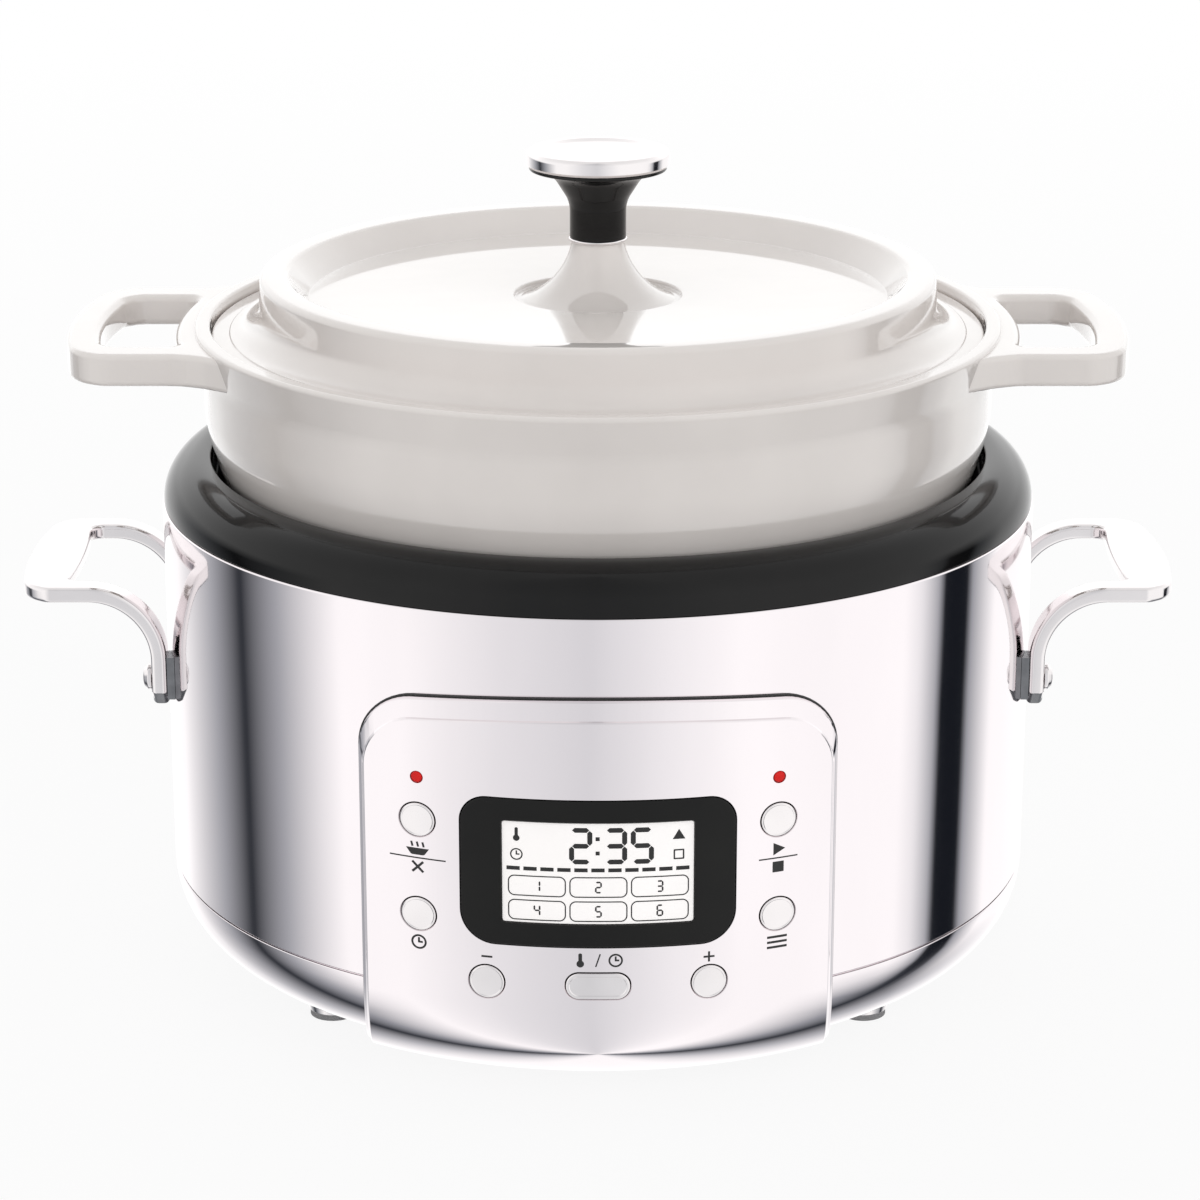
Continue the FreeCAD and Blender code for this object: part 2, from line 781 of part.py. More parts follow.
def makeHeater():
    finished(turnedBody("heating_plate", [
        ("sensorRadius + sensorGap", plateLowZ),
        (plateRadius, plateLowZ),
        (plateRadius, plateTopZ),
        ("sensorRadius + sensorGap", plateTopZ),
    ]))
    element = primitive("Torus", "heating_element", Radius1="%s - elementInset" % plateRadius,
                        Radius2="elementTube")
    finished(place(element, "0", "0", "%s - elementTube - fitGap" % plateLowZ))
    shieldRadius = "(%s - shieldInset)" % linerFootRadius
    finished(turnedBody("heat_shield", [
        ("0", shieldZ),
        (shieldRadius, shieldZ),
        (shieldRadius, "%s - linerWall" % linerFootZ),
        ("%s - shieldWall" % shieldRadius, "%s - linerWall" % linerFootZ),
        ("%s - shieldWall" % shieldRadius, shieldTopZ),
        ("0", shieldTopZ),
    ]))
    posts = []
    for index in range(3):
        ring = "(%s - postInset)" % plateRadius
        turn = "(120 deg * %d + 90 deg)" % index
        posts.append(rod("plate_post_%d" % index, "postRadius", "%s - %s" % (plateLowZ, shieldTopZ),
                         "%s * cos(%s)" % (ring, turn), "%s * sin(%s)" % (ring, turn), shieldTopZ))
    grouped("plate_posts", posts)
    finished(rod("thermal_cutout", "cutoutRadius", "cutoutTall", x="cutoutRing",
                 z="%s - cutoutTall" % plateLowZ))


def makeSensor():
    capLowZ = "(%s - sensorCapTall)" % plateTopZ
    finished(turnedBody("sensor_plunger", [
        ("0", "%s - sensorStemTall" % capLowZ),
        ("sensorStem", "%s - sensorStemTall" % capLowZ),
        ("sensorStem", capLowZ),
        ("sensorRadius", capLowZ),
        ("sensorRadius", plateTopZ),
        ("0", plateTopZ),
    ]))
    finished(turnedBody("sensor_housing", [
        ("housingRadius - housingWall", shieldTopZ),
        ("housingRadius", shieldTopZ),
        ("housingRadius", plateLowZ),
        ("housingRadius - housingWall", plateLowZ),
    ]))
    finished(turnedBody("sensor_spring", [
        ("springRadius - springWall", shieldTopZ),
        ("springRadius", shieldTopZ),
        ("springRadius", "%s - sensorTravel - restGap" % capLowZ),
        ("springRadius - springWall", "%s - sensorTravel - restGap" % capLowZ),
    ]))


# Control panel

roundButtons = {
    "button_upper_left": ("-buttonSideX", "buttonUpperZ"),
    "button_upper_right": ("buttonSideX", "buttonUpperZ"),
    "button_lower_left": ("-buttonSideX", "buttonLowerZ"),
    "button_lower_right": ("buttonSideX", "buttonLowerZ"),
    "button_minus": ("-buttonPairX", "buttonPairZ"),
    "button_plus": ("buttonPairX", "buttonPairZ"),
}
lights = (("-lightX", "lightZ"), ("lightX", "lightZ"))


def controlHoles(gap):
    circles = [(x, z, "buttonRadius + " + gap) for x, z in roundButtons.values()]
    circles += [(x, z, "lightRadius + fitGap") for x, z in lights]
    return circles, stadium("(longHalfWidth + %s)" % gap, "(longRadius + %s)" % gap, "buttonPairZ")


def frameOutline(gap):
    return roundedBox("(frameHalfWidth + %s)" % gap, "(frameLow - %s)" % gap, "(frameHigh + %s)" % gap,
                      "frameLowCorner", "frameTopCorner")


def makePanel():
    cornerRadius = "(bodyRadius - baseCurve)"
    panel = turnedBody("control_panel", [
        ("-" + faceRadius, "panelTop"),
        ("-" + faceRadius, seamZ, "(baseCurve + panelProud)", "left"),
        ("-" + cornerRadius, "footHeight - panelProud"),
        ("-" + cornerRadius, "footHeight - panelGap", "(baseCurve + panelGap)", "right"),
        ("-" + panelInside, seamZ),
        ("-" + panelInside, "panelTop"),
    ], plane="YZ_Plane", angle=90)
    flat = "(panelHalfWidth - panelCorner)"
    arch = "(%s ^ 2 + (panelTop - panelSideTop) ^ 2) / (2 * (panelTop - panelSideTop))" % flat
    outline = [
        ("-panelHalfWidth", "footHeight - 2 * panelProud"),
        ("panelHalfWidth", "footHeight - 2 * panelProud"),
        ("panelHalfWidth", "panelSideTop - panelCorner", "panelCorner", "left"),
        (flat, "panelSideTop", arch, "left"),
        ("-" + flat, "panelSideTop", "panelCorner", "left"),
        ("-panelHalfWidth", "panelSideTop - panelCorner"),
    ]
    keepInside(panel, "XZ_Plane", outline, faceRadius, "footHeight - 3 * panelProud",
               "panelTop + panelProud", "along")
    circles, longHole = controlHoles("buttonGap")
    cutThrough(panel, "XZ_Plane", [frameOutline("fitGap"), longHole], circles, way="along")
    finished(panel)


def makeDisplay():
    frame = curvedPlate("display_frame", "(%s - frameDeep)" % faceRadius, "(%s + frameProud)" % faceRadius,
                        "frameLow", "frameHigh")
    keepInside(frame, "XZ_Plane", frameOutline("0"), faceRadius, "frameLow - frameDeep",
               "frameHigh + frameDeep", "along")
    lens = roundedBox("lensHalfWidth", "lensLow", "lensHigh", "lensCorner", "lensCorner")
    cutThrough(frame, "XZ_Plane", [lens], way="along")
    finished(frame)
    lensBack = "(%s - lensSunk - lensThick)" % faceRadius
    window = curvedPlate("display_window", lensBack, "(%s - lensSunk)" % faceRadius, "lensLow", "lensHigh")
    inside = roundedBox("(lensHalfWidth - fitGap)", "(lensLow + fitGap)", "(lensHigh - fitGap)",
                        "lensCorner", "lensCorner")
    keepInside(window, "XZ_Plane", inside, faceRadius, "lensLow - lensThick", "lensHigh + lensThick",
               "along")
    finished(window)
    lcdHalf = "(lensHalfWidth + lcdMargin)"
    lcdFrontY = "(sqrt((%s - frameDeep) ^ 2 - %s ^ 2) - fitGap)" % (faceRadius, lcdHalf)
    finished(block("lcd_module", "2 * " + lcdHalf, "%s - %s - fitGap" % (lcdFrontY, guideY),
                   "lensHigh - lensLow + 2 * lcdMargin", "-" + lcdHalf, "-" + lcdFrontY,
                   "lensLow - lcdMargin"))


def makeGuide():
    guide = newBody("button_guide")
    outline = plainBox(boardHalfWidth, boardLow, boardHigh)
    addPad(guide, "XZ_Plane", [outline], "guideThick", offset=guideBackY)
    circles, longHole = controlHoles("buttonGap")
    cutThrough(guide, "XZ_Plane", [longHole], circles, way="along")
    finished(guide)


def makeButtons():
    face = rod("button_face", "%s + buttonProud" % faceRadius, collarZ)
    for label, (x, z) in roundButtons.items():
        sections = [
            rod(label + "_cap", "buttonRadius", "%s + panelProud - %s" % (faceRadius, flangeY),
                x, "-(%s + panelProud)" % faceRadius, z, towardsBack),
            rod(label + "_flange", "buttonRadius + buttonFlange", "buttonFlangeTall",
                x, "-" + flangeY, z, towardsBack),
            rod(label + "_stem", "stemRadius", "stemLength",
                x, "-(%s - buttonFlangeTall)" % flangeY, z, towardsBack),
        ]
        joined = doc.addObject("Part::MultiFuse", label + "_blank")
        joined.Shapes = sections
        finished(combine("Common", label, joined, face))


def makeLongButton():
    button = newBody("button_long")
    outline = stadium("longHalfWidth", "longRadius", "buttonPairZ")
    addPad(button, "XZ_Plane", [outline], "%s + panelProud - %s" % (faceRadius, flangeY), offset=flangeY)
    flange = stadium("(longHalfWidth + buttonFlange)", "(longRadius + buttonFlange)", "buttonPairZ")
    addPad(button, "XZ_Plane", [flange], "buttonFlangeTall", offset="%s - buttonFlangeTall" % flangeY)
    stem = stadium("(2 * stemRadius)", "stemRadius", "buttonPairZ")
    addPad(button, "XZ_Plane", [stem], "stemLength", offset=stemEndY)
    button.Label = "button_long_blank"
    face = rod("button_long_face", "%s + buttonProud" % faceRadius, collarZ)
    finished(combine("Common", "button_long", button, face))


def makeBoard():
    finished(block("control_board", "2 * " + boardHalfWidth, "boardThick", "%s - %s" % (boardHigh, boardLow),
                   "-" + boardHalfWidth, "-" + boardY, boardLow))
    places = list(roundButtons.values()) + [("0", "buttonPairZ")]
    switches = [block("switch_%d" % index, "2 * switchHalf", "switchTall", "2 * switchHalf",
                      "%s - switchHalf" % x, "-" + switchY, "%s - switchHalf" % z)
                for index, (x, z) in enumerate(places)]
    grouped("tact_switches", switches)
    posts = []
    for index in range(4):
        x = "%d * (%s - boardPostInset)" % ((1, -1, -1, 1)[index], boardHalfWidth)
        z = ("%s + boardPostInset" % boardLow, "%s - boardPostInset" % boardHigh)[index // 2]
        posts.append(rod("board_post_%d" % index, "boardPostRadius", "%s - %s" % (guideBackY, boardY),
                         x, "-" + guideBackY, z, towardsBack))
    grouped("board_posts", posts)
    face = rod("light_face", "%s + buttonProud" % faceRadius, collarZ)
    for label, (x, z) in zip(("indicator_left", "indicator_right"), lights):
        pipe = rod(label + "_pipe", "lightRadius", "%s + panelProud - %s" % (faceRadius, boardY),
                   x, "-(%s + panelProud)" % faceRadius, z, towardsBack)
        finished(combine("Common", label, pipe, face))


# Side handles

def makeHandle(label, side):
    handle = newBody(label)
    bendX = "(%s + handleBend)" % footInnerX
    bendZ = "(handleTop - handleBend)"
    section = [
        (handleOuter, "handleTop - handleThick"),
        (handleOuter, "handleTop"),
        (bendX, "handleTop", "handleBend", "left"),
        (footInnerX, bendZ),
        (footInnerX, "handleFootLow"),
        (footOuterX, "handleFootLow"),
        (footOuterX, bendZ, "handleBend - handleThick", "right"),
        (bendX, "handleTop - handleThick"),
    ]
    addPad(handle, "XZ_Plane", [sided(section, side)], "2 * handleHalfWidth", both=True)
    rootX = "(%s - handleThick)" % footInnerX
    outline = roundedReach(handleOuter, "handleHalfWidth", "handleCorner")
    outline += [(rootX, "handleHalfWidth"), (rootX, "-handleHalfWidth")]
    wideX = "(%s + handleThick)" % handleOuter
    deepX = "(%s - handleThick)" % rootX
    wideY = "(handleHalfWidth + handleThick)"
    around = [(deepX, "-" + wideY), (wideX, "-" + wideY), (wideX, wideY), (deepX, wideY)]
    cutThrough(handle, "XY_Plane", [sided(around, side), sided(outline, side)])
    padX = "(%s - handlePad)" % handleOuter
    opening = [
        (rootX, "-" + handleOpening),
        ("%s - handleHoleCorner" % padX, "-" + handleOpening, "handleHoleCorner", "left"),
        (padX, "-(%s - handleHoleCorner)" % handleOpening),
        (padX, "%s - handleHoleCorner" % handleOpening, "handleHoleCorner", "left"),
        ("%s - handleHoleCorner" % padX, handleOpening),
        (rootX, handleOpening),
    ]
    cutThrough(handle, "XY_Plane", [sided(opening, side)])
    holes = [(sign + handleScrewY, "handleScrewZ", "screwRadius + fitGap") for sign in ("-", "")]
    cutThrough(handle, "YZ_Plane", circles=holes)
    finished(handle)


def makeHandleFixings():
    wall = rod("spacer_wall", "bodyRadius + fitGap / 2", collarZ)
    spacers = []
    screws = []
    for index in range(4):
        side = (1, -1)[index % 2]
        front = (1, -1)[index // 2]
        screwY = "%d * %s" % (front, handleScrewY)
        turn = towardsRight if side == 1 else towardsLeft
        width = "(handleArm - 2 * spacerInset)"
        low = "handleScrewZ - spacerDown"
        cornerX = "0" if side == 1 else "-" + footInnerX
        blank = block("spacer_block_%d" % index, footInnerX, width, "spacerDown + spacerUp",
                      cornerX, "%s - %s / 2" % (screwY, width), low)
        drill = rod("spacer_drill_%d" % index, "screwRadius + fitGap", footOuterX, "0", screwY,
                    "handleScrewZ", turn)
        shaped = combine("Cut", "spacer_shaped_%d" % index, blank, wall)
        spacers.append(combine("Cut", "spacer_%d" % index, shaped, drill))
        shankX = "(sqrt(%s ^ 2 - %s ^ 2) - screwTail)" % (wrapInside, handleScrewY)
        shank = rod("handle_shank_%d" % index, "screwRadius", "%s - %s" % (footOuterX, shankX),
                    "%d * %s" % (side, shankX), screwY, "handleScrewZ", turn)
        head = rod("handle_head_%d" % index, "screwHead", "screwHeadTall",
                   "%d * %s" % (side, footOuterX), screwY, "handleScrewZ", turn)
        screws.append(combine("Fuse", "handle_screw_%d" % index, shank, head))
    grouped("handle_spacers", spacers)
    grouped("handle_screws", screws)


# Power board and inlet

def makePower():
    finished(block("power_board", "2 * powerHalfLength", "2 * powerHalfWidth", "boardThick",
                   "-powerHalfLength", "powerY - powerHalfWidth", powerZ))
    standoffs = []
    for index in range(4):
        x = "%d * (powerHalfLength - standoffInset)" % (1, -1, -1, 1)[index]
        y = "powerY + %d * (powerHalfWidth - standoffInset)" % (1, 1, -1, -1)[index]
        standoffs.append(rod("standoff_%d" % index, "standoffRadius", "standoffHeight", x, y, "footHeight"))
    grouped("board_standoffs", standoffs)
    topZ = "%s + boardThick" % powerZ
    finished(block("transformer", "transformerLong", "transformerWide", "transformerTall",
                   "-transformerLong", "powerY - transformerWide / 2", topZ))
    finished(block("power_relay", "relayLong", "relayWide", "relayTall", "relayLong / 2",
                   "powerY", topZ))
    finished(rod("capacitor", "capacitorRadius", "capacitorTall", "relayLong",
                 "powerY - 2 * capacitorRadius", topZ))


def makeInlet():
    inlet = newBody("power_inlet")
    outline = plainBox("inletHalfWidth", "inletZ - inletHalfTall", "inletZ + inletHalfTall")
    addPad(inlet, "XZ_Plane", [outline], "inletDeep", offset="-" + inletFaceY)
    doc.recompute()
    before = inlet.Shape.Volume
    sketch = newSketch(inlet, "XZ_Plane", [plainBox("(inletHalfWidth - inletWall)",
                                                    "inletZ - inletHalfTall + inletWall",
                                                    "inletZ + inletHalfTall - inletWall")],
                       offset="-" + inletFaceY)
    recess = inlet.newObject("PartDesign::Pocket", "power_inlet_recess")
    recess.Profile = sketch
    recess.Reversed = True
    bind(recess, Length="inletRecess")
    doc.recompute()
    if not inlet.Shape.Volume < before:
        raise RuntimeError("the inlet has no recess")
    finished(inlet)
    pins = [rod("inlet_pin_%d" % index, "pinRadius", "pinLength", "%d * pinSpacing / 2" % side,
                inletFloorY, "inletZ", towardsBack) for index, side in enumerate((1, -1))]
    grouped("inlet_pins", pins)


makeWrap()
makeBasePan()
makeUnderside()
makeFeet()
makeCollar()
makePot()
makeLid()
makeKnob()
makeWell()
makeHeater()
makeSensor()
makePanel()
makeDisplay()
makeGuide()
makeButtons()
makeLongButton()
makeBoard()
makeHandle("side_handle_right", 1)
makeHandle("side_handle_left", -1)
makeHandleFixings()
makePower()
makeInlet()

doc.recompute()
for thing in doc.Objects:
    if "Invalid" in thing.State or "Error" in thing.State:
        raise RuntimeError("failed: " + thing.Label)
for piece in parts:
    if piece.Shape.isNull() or not piece.Shape.isValid():
        raise RuntimeError("bad shape: " + piece.Label)

os.makedirs("parts", exist_ok=True)
for piece in parts:
    piece.Shape.exportStep("parts/" + piece.Label + ".step")
print("wrote", len(parts), "parts")
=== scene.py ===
import math

import bmesh
import bpy
from mathutils import Matrix, Vector


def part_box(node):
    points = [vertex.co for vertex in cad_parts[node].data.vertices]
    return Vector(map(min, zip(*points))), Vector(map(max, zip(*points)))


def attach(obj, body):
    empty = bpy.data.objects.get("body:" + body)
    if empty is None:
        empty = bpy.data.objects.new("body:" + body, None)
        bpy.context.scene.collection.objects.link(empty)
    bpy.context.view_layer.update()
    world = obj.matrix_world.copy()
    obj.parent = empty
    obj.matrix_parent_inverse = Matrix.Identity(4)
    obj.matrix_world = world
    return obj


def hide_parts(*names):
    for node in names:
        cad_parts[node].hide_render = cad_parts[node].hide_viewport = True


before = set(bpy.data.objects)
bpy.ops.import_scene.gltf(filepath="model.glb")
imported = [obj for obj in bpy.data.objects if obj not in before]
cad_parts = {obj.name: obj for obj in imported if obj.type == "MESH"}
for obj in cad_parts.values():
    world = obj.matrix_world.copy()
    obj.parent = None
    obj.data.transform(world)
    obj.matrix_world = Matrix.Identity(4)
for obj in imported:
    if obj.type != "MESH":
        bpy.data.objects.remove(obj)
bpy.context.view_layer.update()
scene = bpy.context.scene
scene.view_settings.view_transform = "Standard"
mm = 0.001
arcStep = math.radians(7)  # longest step round a fillet
arcFewest = 3
flatTurn = math.radians(0.5)  # faces that turn less than this make one flat
weld = 0.002  # in millimetres: points nearer than this are one
level = 0.001  # a point this near a height lies at it
snap = 0.0005  # a cut this near a point goes through it
quarters = ((1, 1), (1, -1), (-1, 1), (-1, -1))  # right or left, back or front
print("frame loaded,", len(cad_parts), "nodes")


# Camera, at the photograph's height and distance
cameraSet = {"sensor": 36, "lens": 109.59, "place": (0, -1.2187, 0.5192), "tilt": 72.22, "shift": 0.0017}
cameraData = bpy.data.cameras.new("camera")
cameraData.sensor_width = cameraSet["sensor"]
cameraData.lens = cameraSet["lens"]
cameraData.shift_x = cameraSet["shift"]
camera = bpy.data.objects.new("camera", cameraData)
camera.location = cameraSet["place"]
camera.rotation_euler = (math.radians(cameraSet["tilt"]), 0, 0)
scene.collection.objects.link(camera)
scene.camera = camera
print("camera set")


# Materials

def hexColour(code):
    shares = [int(code[i:i + 2], 16) / 255 for i in (1, 3, 5)]
    return [s / 12.92 if s <= 0.04045 else ((s + 0.055) / 1.055) ** 2.4 for s in shares] + [1]


def addNode(tree, kind, settings=None, links=None):
    node = tree.nodes.new(kind)
    for name, value in (settings or {}).items():
        if name in node.inputs:
            node.inputs[name].default_value = value
        else:
            setattr(node, name, value)
    for name, source in (links or {}).items():
        tree.links.new(source, node.inputs[name])
    return node


surfaceSet = {"patchDetail": 3, "grainDetail": 4, "toneStops": (0.3, 0.7), "reliefDeep": 0.1}


def makeFinish(name, look):
    # Two tones in soft patches, then a finer grain for the roughness and the relief.
    material = bpy.data.materials.new(name)
    material.use_nodes = True
    tree = material.node_tree
    shader = tree.nodes["Principled BSDF"]
    for socket, value in look.get("shader", {}).items():
        shader.inputs[socket].default_value = value
    spot = addNode(tree, "ShaderNodeTexCoord")
    drawn = addNode(tree, "ShaderNodeMapping", {"Scale": look.get("stretch", (1, 1, 1))},
                    {"Vector": spot.outputs["Object"]})
    noise = {}
    for size in ("patch", "grain"):
        settings = {"Scale": 1 / (look[size] * mm), "Detail": surfaceSet[size + "Detail"]}
        node = addNode(tree, "ShaderNodeTexNoise", settings, {"Vector": drawn.outputs["Vector"]})
        noise[size] = node.outputs["Fac"]
    tone = addNode(tree, "ShaderNodeValToRGB", links={"Fac": noise["patch"]})
    for stop, place, code in zip(tone.color_ramp.elements, surfaceSet["toneStops"], look["colours"]):
        stop.position = place
        stop.color = hexColour(code)
    least, most = look["roughness"]
    rough = addNode(tree, "ShaderNodeMapRange", {"To Min": least, "To Max": most}, {"Value": noise["grain"]})
    relief = addNode(tree, "ShaderNodeBump",
                     {"Strength": look["relief"], "Distance": surfaceSet["reliefDeep"] * mm},
                     {"Height": noise["grain"]})
    tree.links.new(tone.outputs["Color"], shader.inputs["Base Color"])
    tree.links.new(rough.outputs["Result"], shader.inputs["Roughness"])
    tree.links.new(relief.outputs["Normal"], shader.inputs["Normal"])
    return material


# Patch and grain are widths in millimetres, and a grain too fine to show is drawn coarser than it is.
finishes = {
    # Rolled stainless sheet, buffed to a mirror: crisp reflections with a faint drawn-out waver.
    "polishedSteel": {"colours": ("#ece6e8", "#f1ebed"), "patch": 40, "roughness": (0.045, 0.075),
                      "grain": 6, "relief": 0.006, "stretch": (1, 1, 0.25), "shader": {"Metallic": 1}},
    # Stainless strip with a softer polish, on handles, knob cap and buttons: slightly blurred reflections.
    "satinSteel": {"colours": ("#e6e2e2", "#ece8e8"), "patch": 15, "roughness": (0.08, 0.13),
                   "grain": 1.5, "relief": 0.008, "shader": {"Metallic": 1}},
    # Vitreous enamel on the pot and lid: glassy cream with a slight orange peel.
    "creamEnamel": {"colours": ("#e6e0dc", "#ebe5e1"), "patch": 30, "roughness": (0.05, 0.09),
                    "grain": 4, "relief": 0.012,
                    "shader": {"IOR": 1.5, "Coat Weight": 1, "Coat Roughness": 0.02}},
    # Moulded phenolic collar: deep gloss black.
    "glossPhenolic": {"colours": ("#0d0d0d", "#131212"), "patch": 20, "roughness": (0.07, 0.11),
                      "grain": 3, "relief": 0.01, "shader": {"IOR": 1.5, "Specular IOR Level": 0.25}},
    # Polished phenolic knob neck: black with sharp highlights.
    "polishedPhenolic": {"colours": ("#080808", "#0d0d0d"), "patch": 8, "roughness": (0.03, 0.06),
                         "grain": 2, "relief": 0.005, "shader": {"IOR": 1.55, "Specular IOR Level": 0.28}},
    # Moulded nylon with a fine spark-eroded grain: dull black.
    "grainedNylon": {"colours": ("#161616", "#1e1e1e"), "patch": 10, "roughness": (0.45, 0.6),
                     "grain": 0.6, "relief": 0.12, "shader": {"IOR": 1.48}},
    # Back-painted acrylic of the display surround: even near-black.
    "paintedAcrylic": {"colours": ("#161616", "#1b1b1a"), "patch": 25, "roughness": (0.2, 0.28),
                       "grain": 2, "relief": 0.01, "shader": {"IOR": 1.46, "Specular IOR Level": 0.2}},
    # Acrylic display face, lit from behind: even white, slightly warm.
    "litAcrylic": {"colours": ("#f4f2f1", "#f8f6f5"), "patch": 20, "roughness": (0.3, 0.36),
                   "grain": 0.4, "relief": 0.01,
                   "shader": {"Emission Color": hexColour("#fdf9f8"), "Emission Strength": 0.27}},
    # Screen-printed ink: flat black, slightly raised.
    "printedInk": {"colours": ("#151515", "#1c1c1c"), "patch": 3, "roughness": (0.4, 0.55),
                   "grain": 0.2, "relief": 0.03},
    # Red acrylic over the pilot light: saturated, with a soft shine.
    "redAcrylic": {"colours": ("#df1612", "#e8201a"), "patch": 2, "roughness": (0.25, 0.32),
                   "grain": 0.5, "relief": 0.02, "shader": {"Specular IOR Level": 0.25}},
    # Cast aluminium plate, turned on top: bright grey with a sandy skin.
    "castAluminium": {"colours": ("#a9a9a8", "#bab9b8"), "patch": 8, "roughness": (0.35, 0.5),
                      "grain": 0.8, "relief": 0.15, "shader": {"Metallic": 1}},
    # Drawn aluminium sheet: satin, lightly streaked.
    "sheetAluminium": {"colours": ("#b6b7b8", "#c4c4c4"), "patch": 20, "roughness": (0.26, 0.36),
                       "grain": 1, "relief": 0.03, "stretch": (1, 1, 0.2), "shader": {"Metallic": 1}},
    # Glass wool felt: pale, fibrous and dull.
    "glassWool": {"colours": ("#d9d2bb", "#eae4d2"), "patch": 5, "roughness": (0.85, 0.95),
                  "grain": 0.7, "relief": 0.8},
    # Zinc-plated steel: bluish grey with a dull shine.
    "zincSteel": {"colours": ("#a7aaae", "#bcbec0"), "patch": 4, "roughness": (0.26, 0.38),
                  "grain": 0.6, "relief": 0.04, "shader": {"Metallic": 1}},
    # Turned steel, left as machined: darker grey, soft shine. On the handle tips it is painted shade, their
    # dark reflection laid into the colour.
    "turnedSteelAndTipShade": {"colours": ("#727376", "#808184"), "patch": 4, "roughness": (0.26, 0.34),
                    "grain": 0.6, "relief": 0.03, "shader": {"Metallic": 1}},
    # Glass-epoxy board, lacquered: green with a half gloss.
    "glassEpoxy": {"colours": ("#1d5a35", "#24683d"), "patch": 6, "roughness": (0.3, 0.42),
                   "grain": 0.5, "relief": 0.05},
    # Moulded rubber: dull grey with a fine bloom.
    "greyRubber": {"colours": ("#8a8a8c", "#969697"), "patch": 4, "roughness": (0.7, 0.85),
                   "grain": 0.5, "relief": 0.1},
    # Turned brass contact pins: warm yellow, half bright.
    "brass": {"colours": ("#c9a961", "#d6b871"), "patch": 3, "roughness": (0.2, 0.3),
              "grain": 0.4, "relief": 0.02, "shader": {"Metallic": 1}},
    # Moulded nylon cases of the electrical parts: dark blue-grey, dull.
    "caseNylon": {"colours": ("#23282f", "#2c323a"), "patch": 5, "roughness": (0.4, 0.55),
                  "grain": 0.5, "relief": 0.08},
    # Copper wound on iron, varnished: patchy brown.
    "varnishedCopper": {"colours": ("#5a4636", "#7a5337"), "patch": 4, "roughness": (0.35, 0.5),
                        "grain": 0.6, "relief": 0.2, "shader": {"Metallic": 0.6}},
    # Steel heater tube, tinted by heat: dull brown.
    "heatedSteel": {"colours": ("#5c5651", "#70645c"), "patch": 6, "roughness": (0.4, 0.55),
                    "grain": 0.7, "relief": 0.08, "shader": {"Metallic": 1}},
}
finish = {name: makeFinish(name, look) for name, look in finishes.items()}
print("materials made")


# Shapes, all drawn in millimetres

def drawOutline(corners, closed=True):
    # Each corner is (across, up) or (across, up, rounding).
    bm = bmesh.new()
    verts = [bm.verts.new((corner[0], corner[1], 0)) for corner in corners]
    ends = verts[1:] + verts[:1] if closed else verts[1:]
    for first, second in zip(verts, ends):
        bm.edges.new((first, second))
    for vertex, corner in zip(verts, corners):
        if len(corner) == 3:
            arms = [edge.other_vert(vertex).co - vertex.co for edge in vertex.link_edges]
            opening = arms[0].angle(arms[1])
            steps = max(arcFewest, math.ceil((math.pi - opening) / arcStep))
            bmesh.ops.bevel(bm, geom=[vertex], offset=corner[2] / math.tan(opening / 2),
                            offset_type="OFFSET", affect="VERTICES", segments=steps, profile=0.5,
                            material=-1)
    bmesh.ops.remove_doubles(bm, verts=bm.verts[:], dist=weld)
    return bm


def turned(points, rounds=(), closed=True, steps=240):
    # Spins an outline of (radius, height) points. Rounds holds their roundings, in the same order.
    sizes = list(rounds) + [0] * (len(points) - len(rounds))
    bm = drawOutline([(*point, size) if size else point for point, size in zip(points, sizes)], closed)
    bmesh.ops.rotate(bm, verts=bm.verts[:], matrix=Matrix.Rotation(math.pi / 2, 3, "X"))
    bmesh.ops.spin(bm, geom=bm.verts[:] + bm.edges[:], axis=(0, 0, 1), angle=2 * math.pi,
                   steps=steps, use_merge=True)
    bmesh.ops.remove_doubles(bm, verts=bm.verts[:], dist=weld)
    bmesh.ops.recalc_face_normals(bm, faces=bm.faces[:])
    return bm


def fillOutline(bm):
    face = bmesh.ops.edgeloop_fill(bm, edges=bm.edges[:])["faces"][0]
    face.normal_update()
    if face.normal.z < 0:
        face.normal_flip()
    return face


def moveShape(bm, x=0, y=0, z=0):
    bmesh.ops.translate(bm, vec=(x, y, z), verts=bm.verts[:])


def liftFaces(bm, faces, height):
    made = bmesh.ops.extrude_face_region(bm, geom=faces)["geom"]
    verts = [part for part in made if isinstance(part, bmesh.types.BMVert)]
    bmesh.ops.translate(bm, vec=(0, 0, height), verts=verts)
    return [part for part in made if isinstance(part, bmesh.types.BMFace)]


def raiseFace(bm, face, height):
    top = liftFaces(bm, [face], height)[0]
    top.normal_update()
    return top


def insetFace(bm, face, width, rise=0):
    bmesh.ops.inset_region(bm, faces=[face], use_boundary=True, use_even_offset=True,
                           thickness=width, depth=rise)


def partsAt(parts, height):
    # The faces or edges that lie flat at a height.
    return [part for part in parts if all(abs(v.co.z - height) < level for v in part.verts)]


def openAt(bm, *heights):
    for height in heights:
        bmesh.ops.delete(bm, geom=partsAt(bm.faces, height), context="FACES_ONLY")


# A quarter circle in steps, and a plainer soft edge, as shares of the radius across and down.
quarterTurns = [math.pi / 8 * k for k in range(5)]
quarterSteps = [(math.sin(b) - math.sin(a), math.cos(a) - math.cos(b))
                for a, b in zip(quarterTurns, quarterTurns[1:])]
softSteps = ((0.3, 0.1), (0.7, 0.9))


def raisedPlate(corners, thick, rim, low=0):
    # A plate with a rounded top edge.
    bm = drawOutline(corners)
    top = raiseFace(bm, fillOutline(bm), thick - rim)
    for up, across in quarterSteps:
        insetFace(bm, top, rim * across, rim * up)
    moveShape(bm, z=low)
    return bm


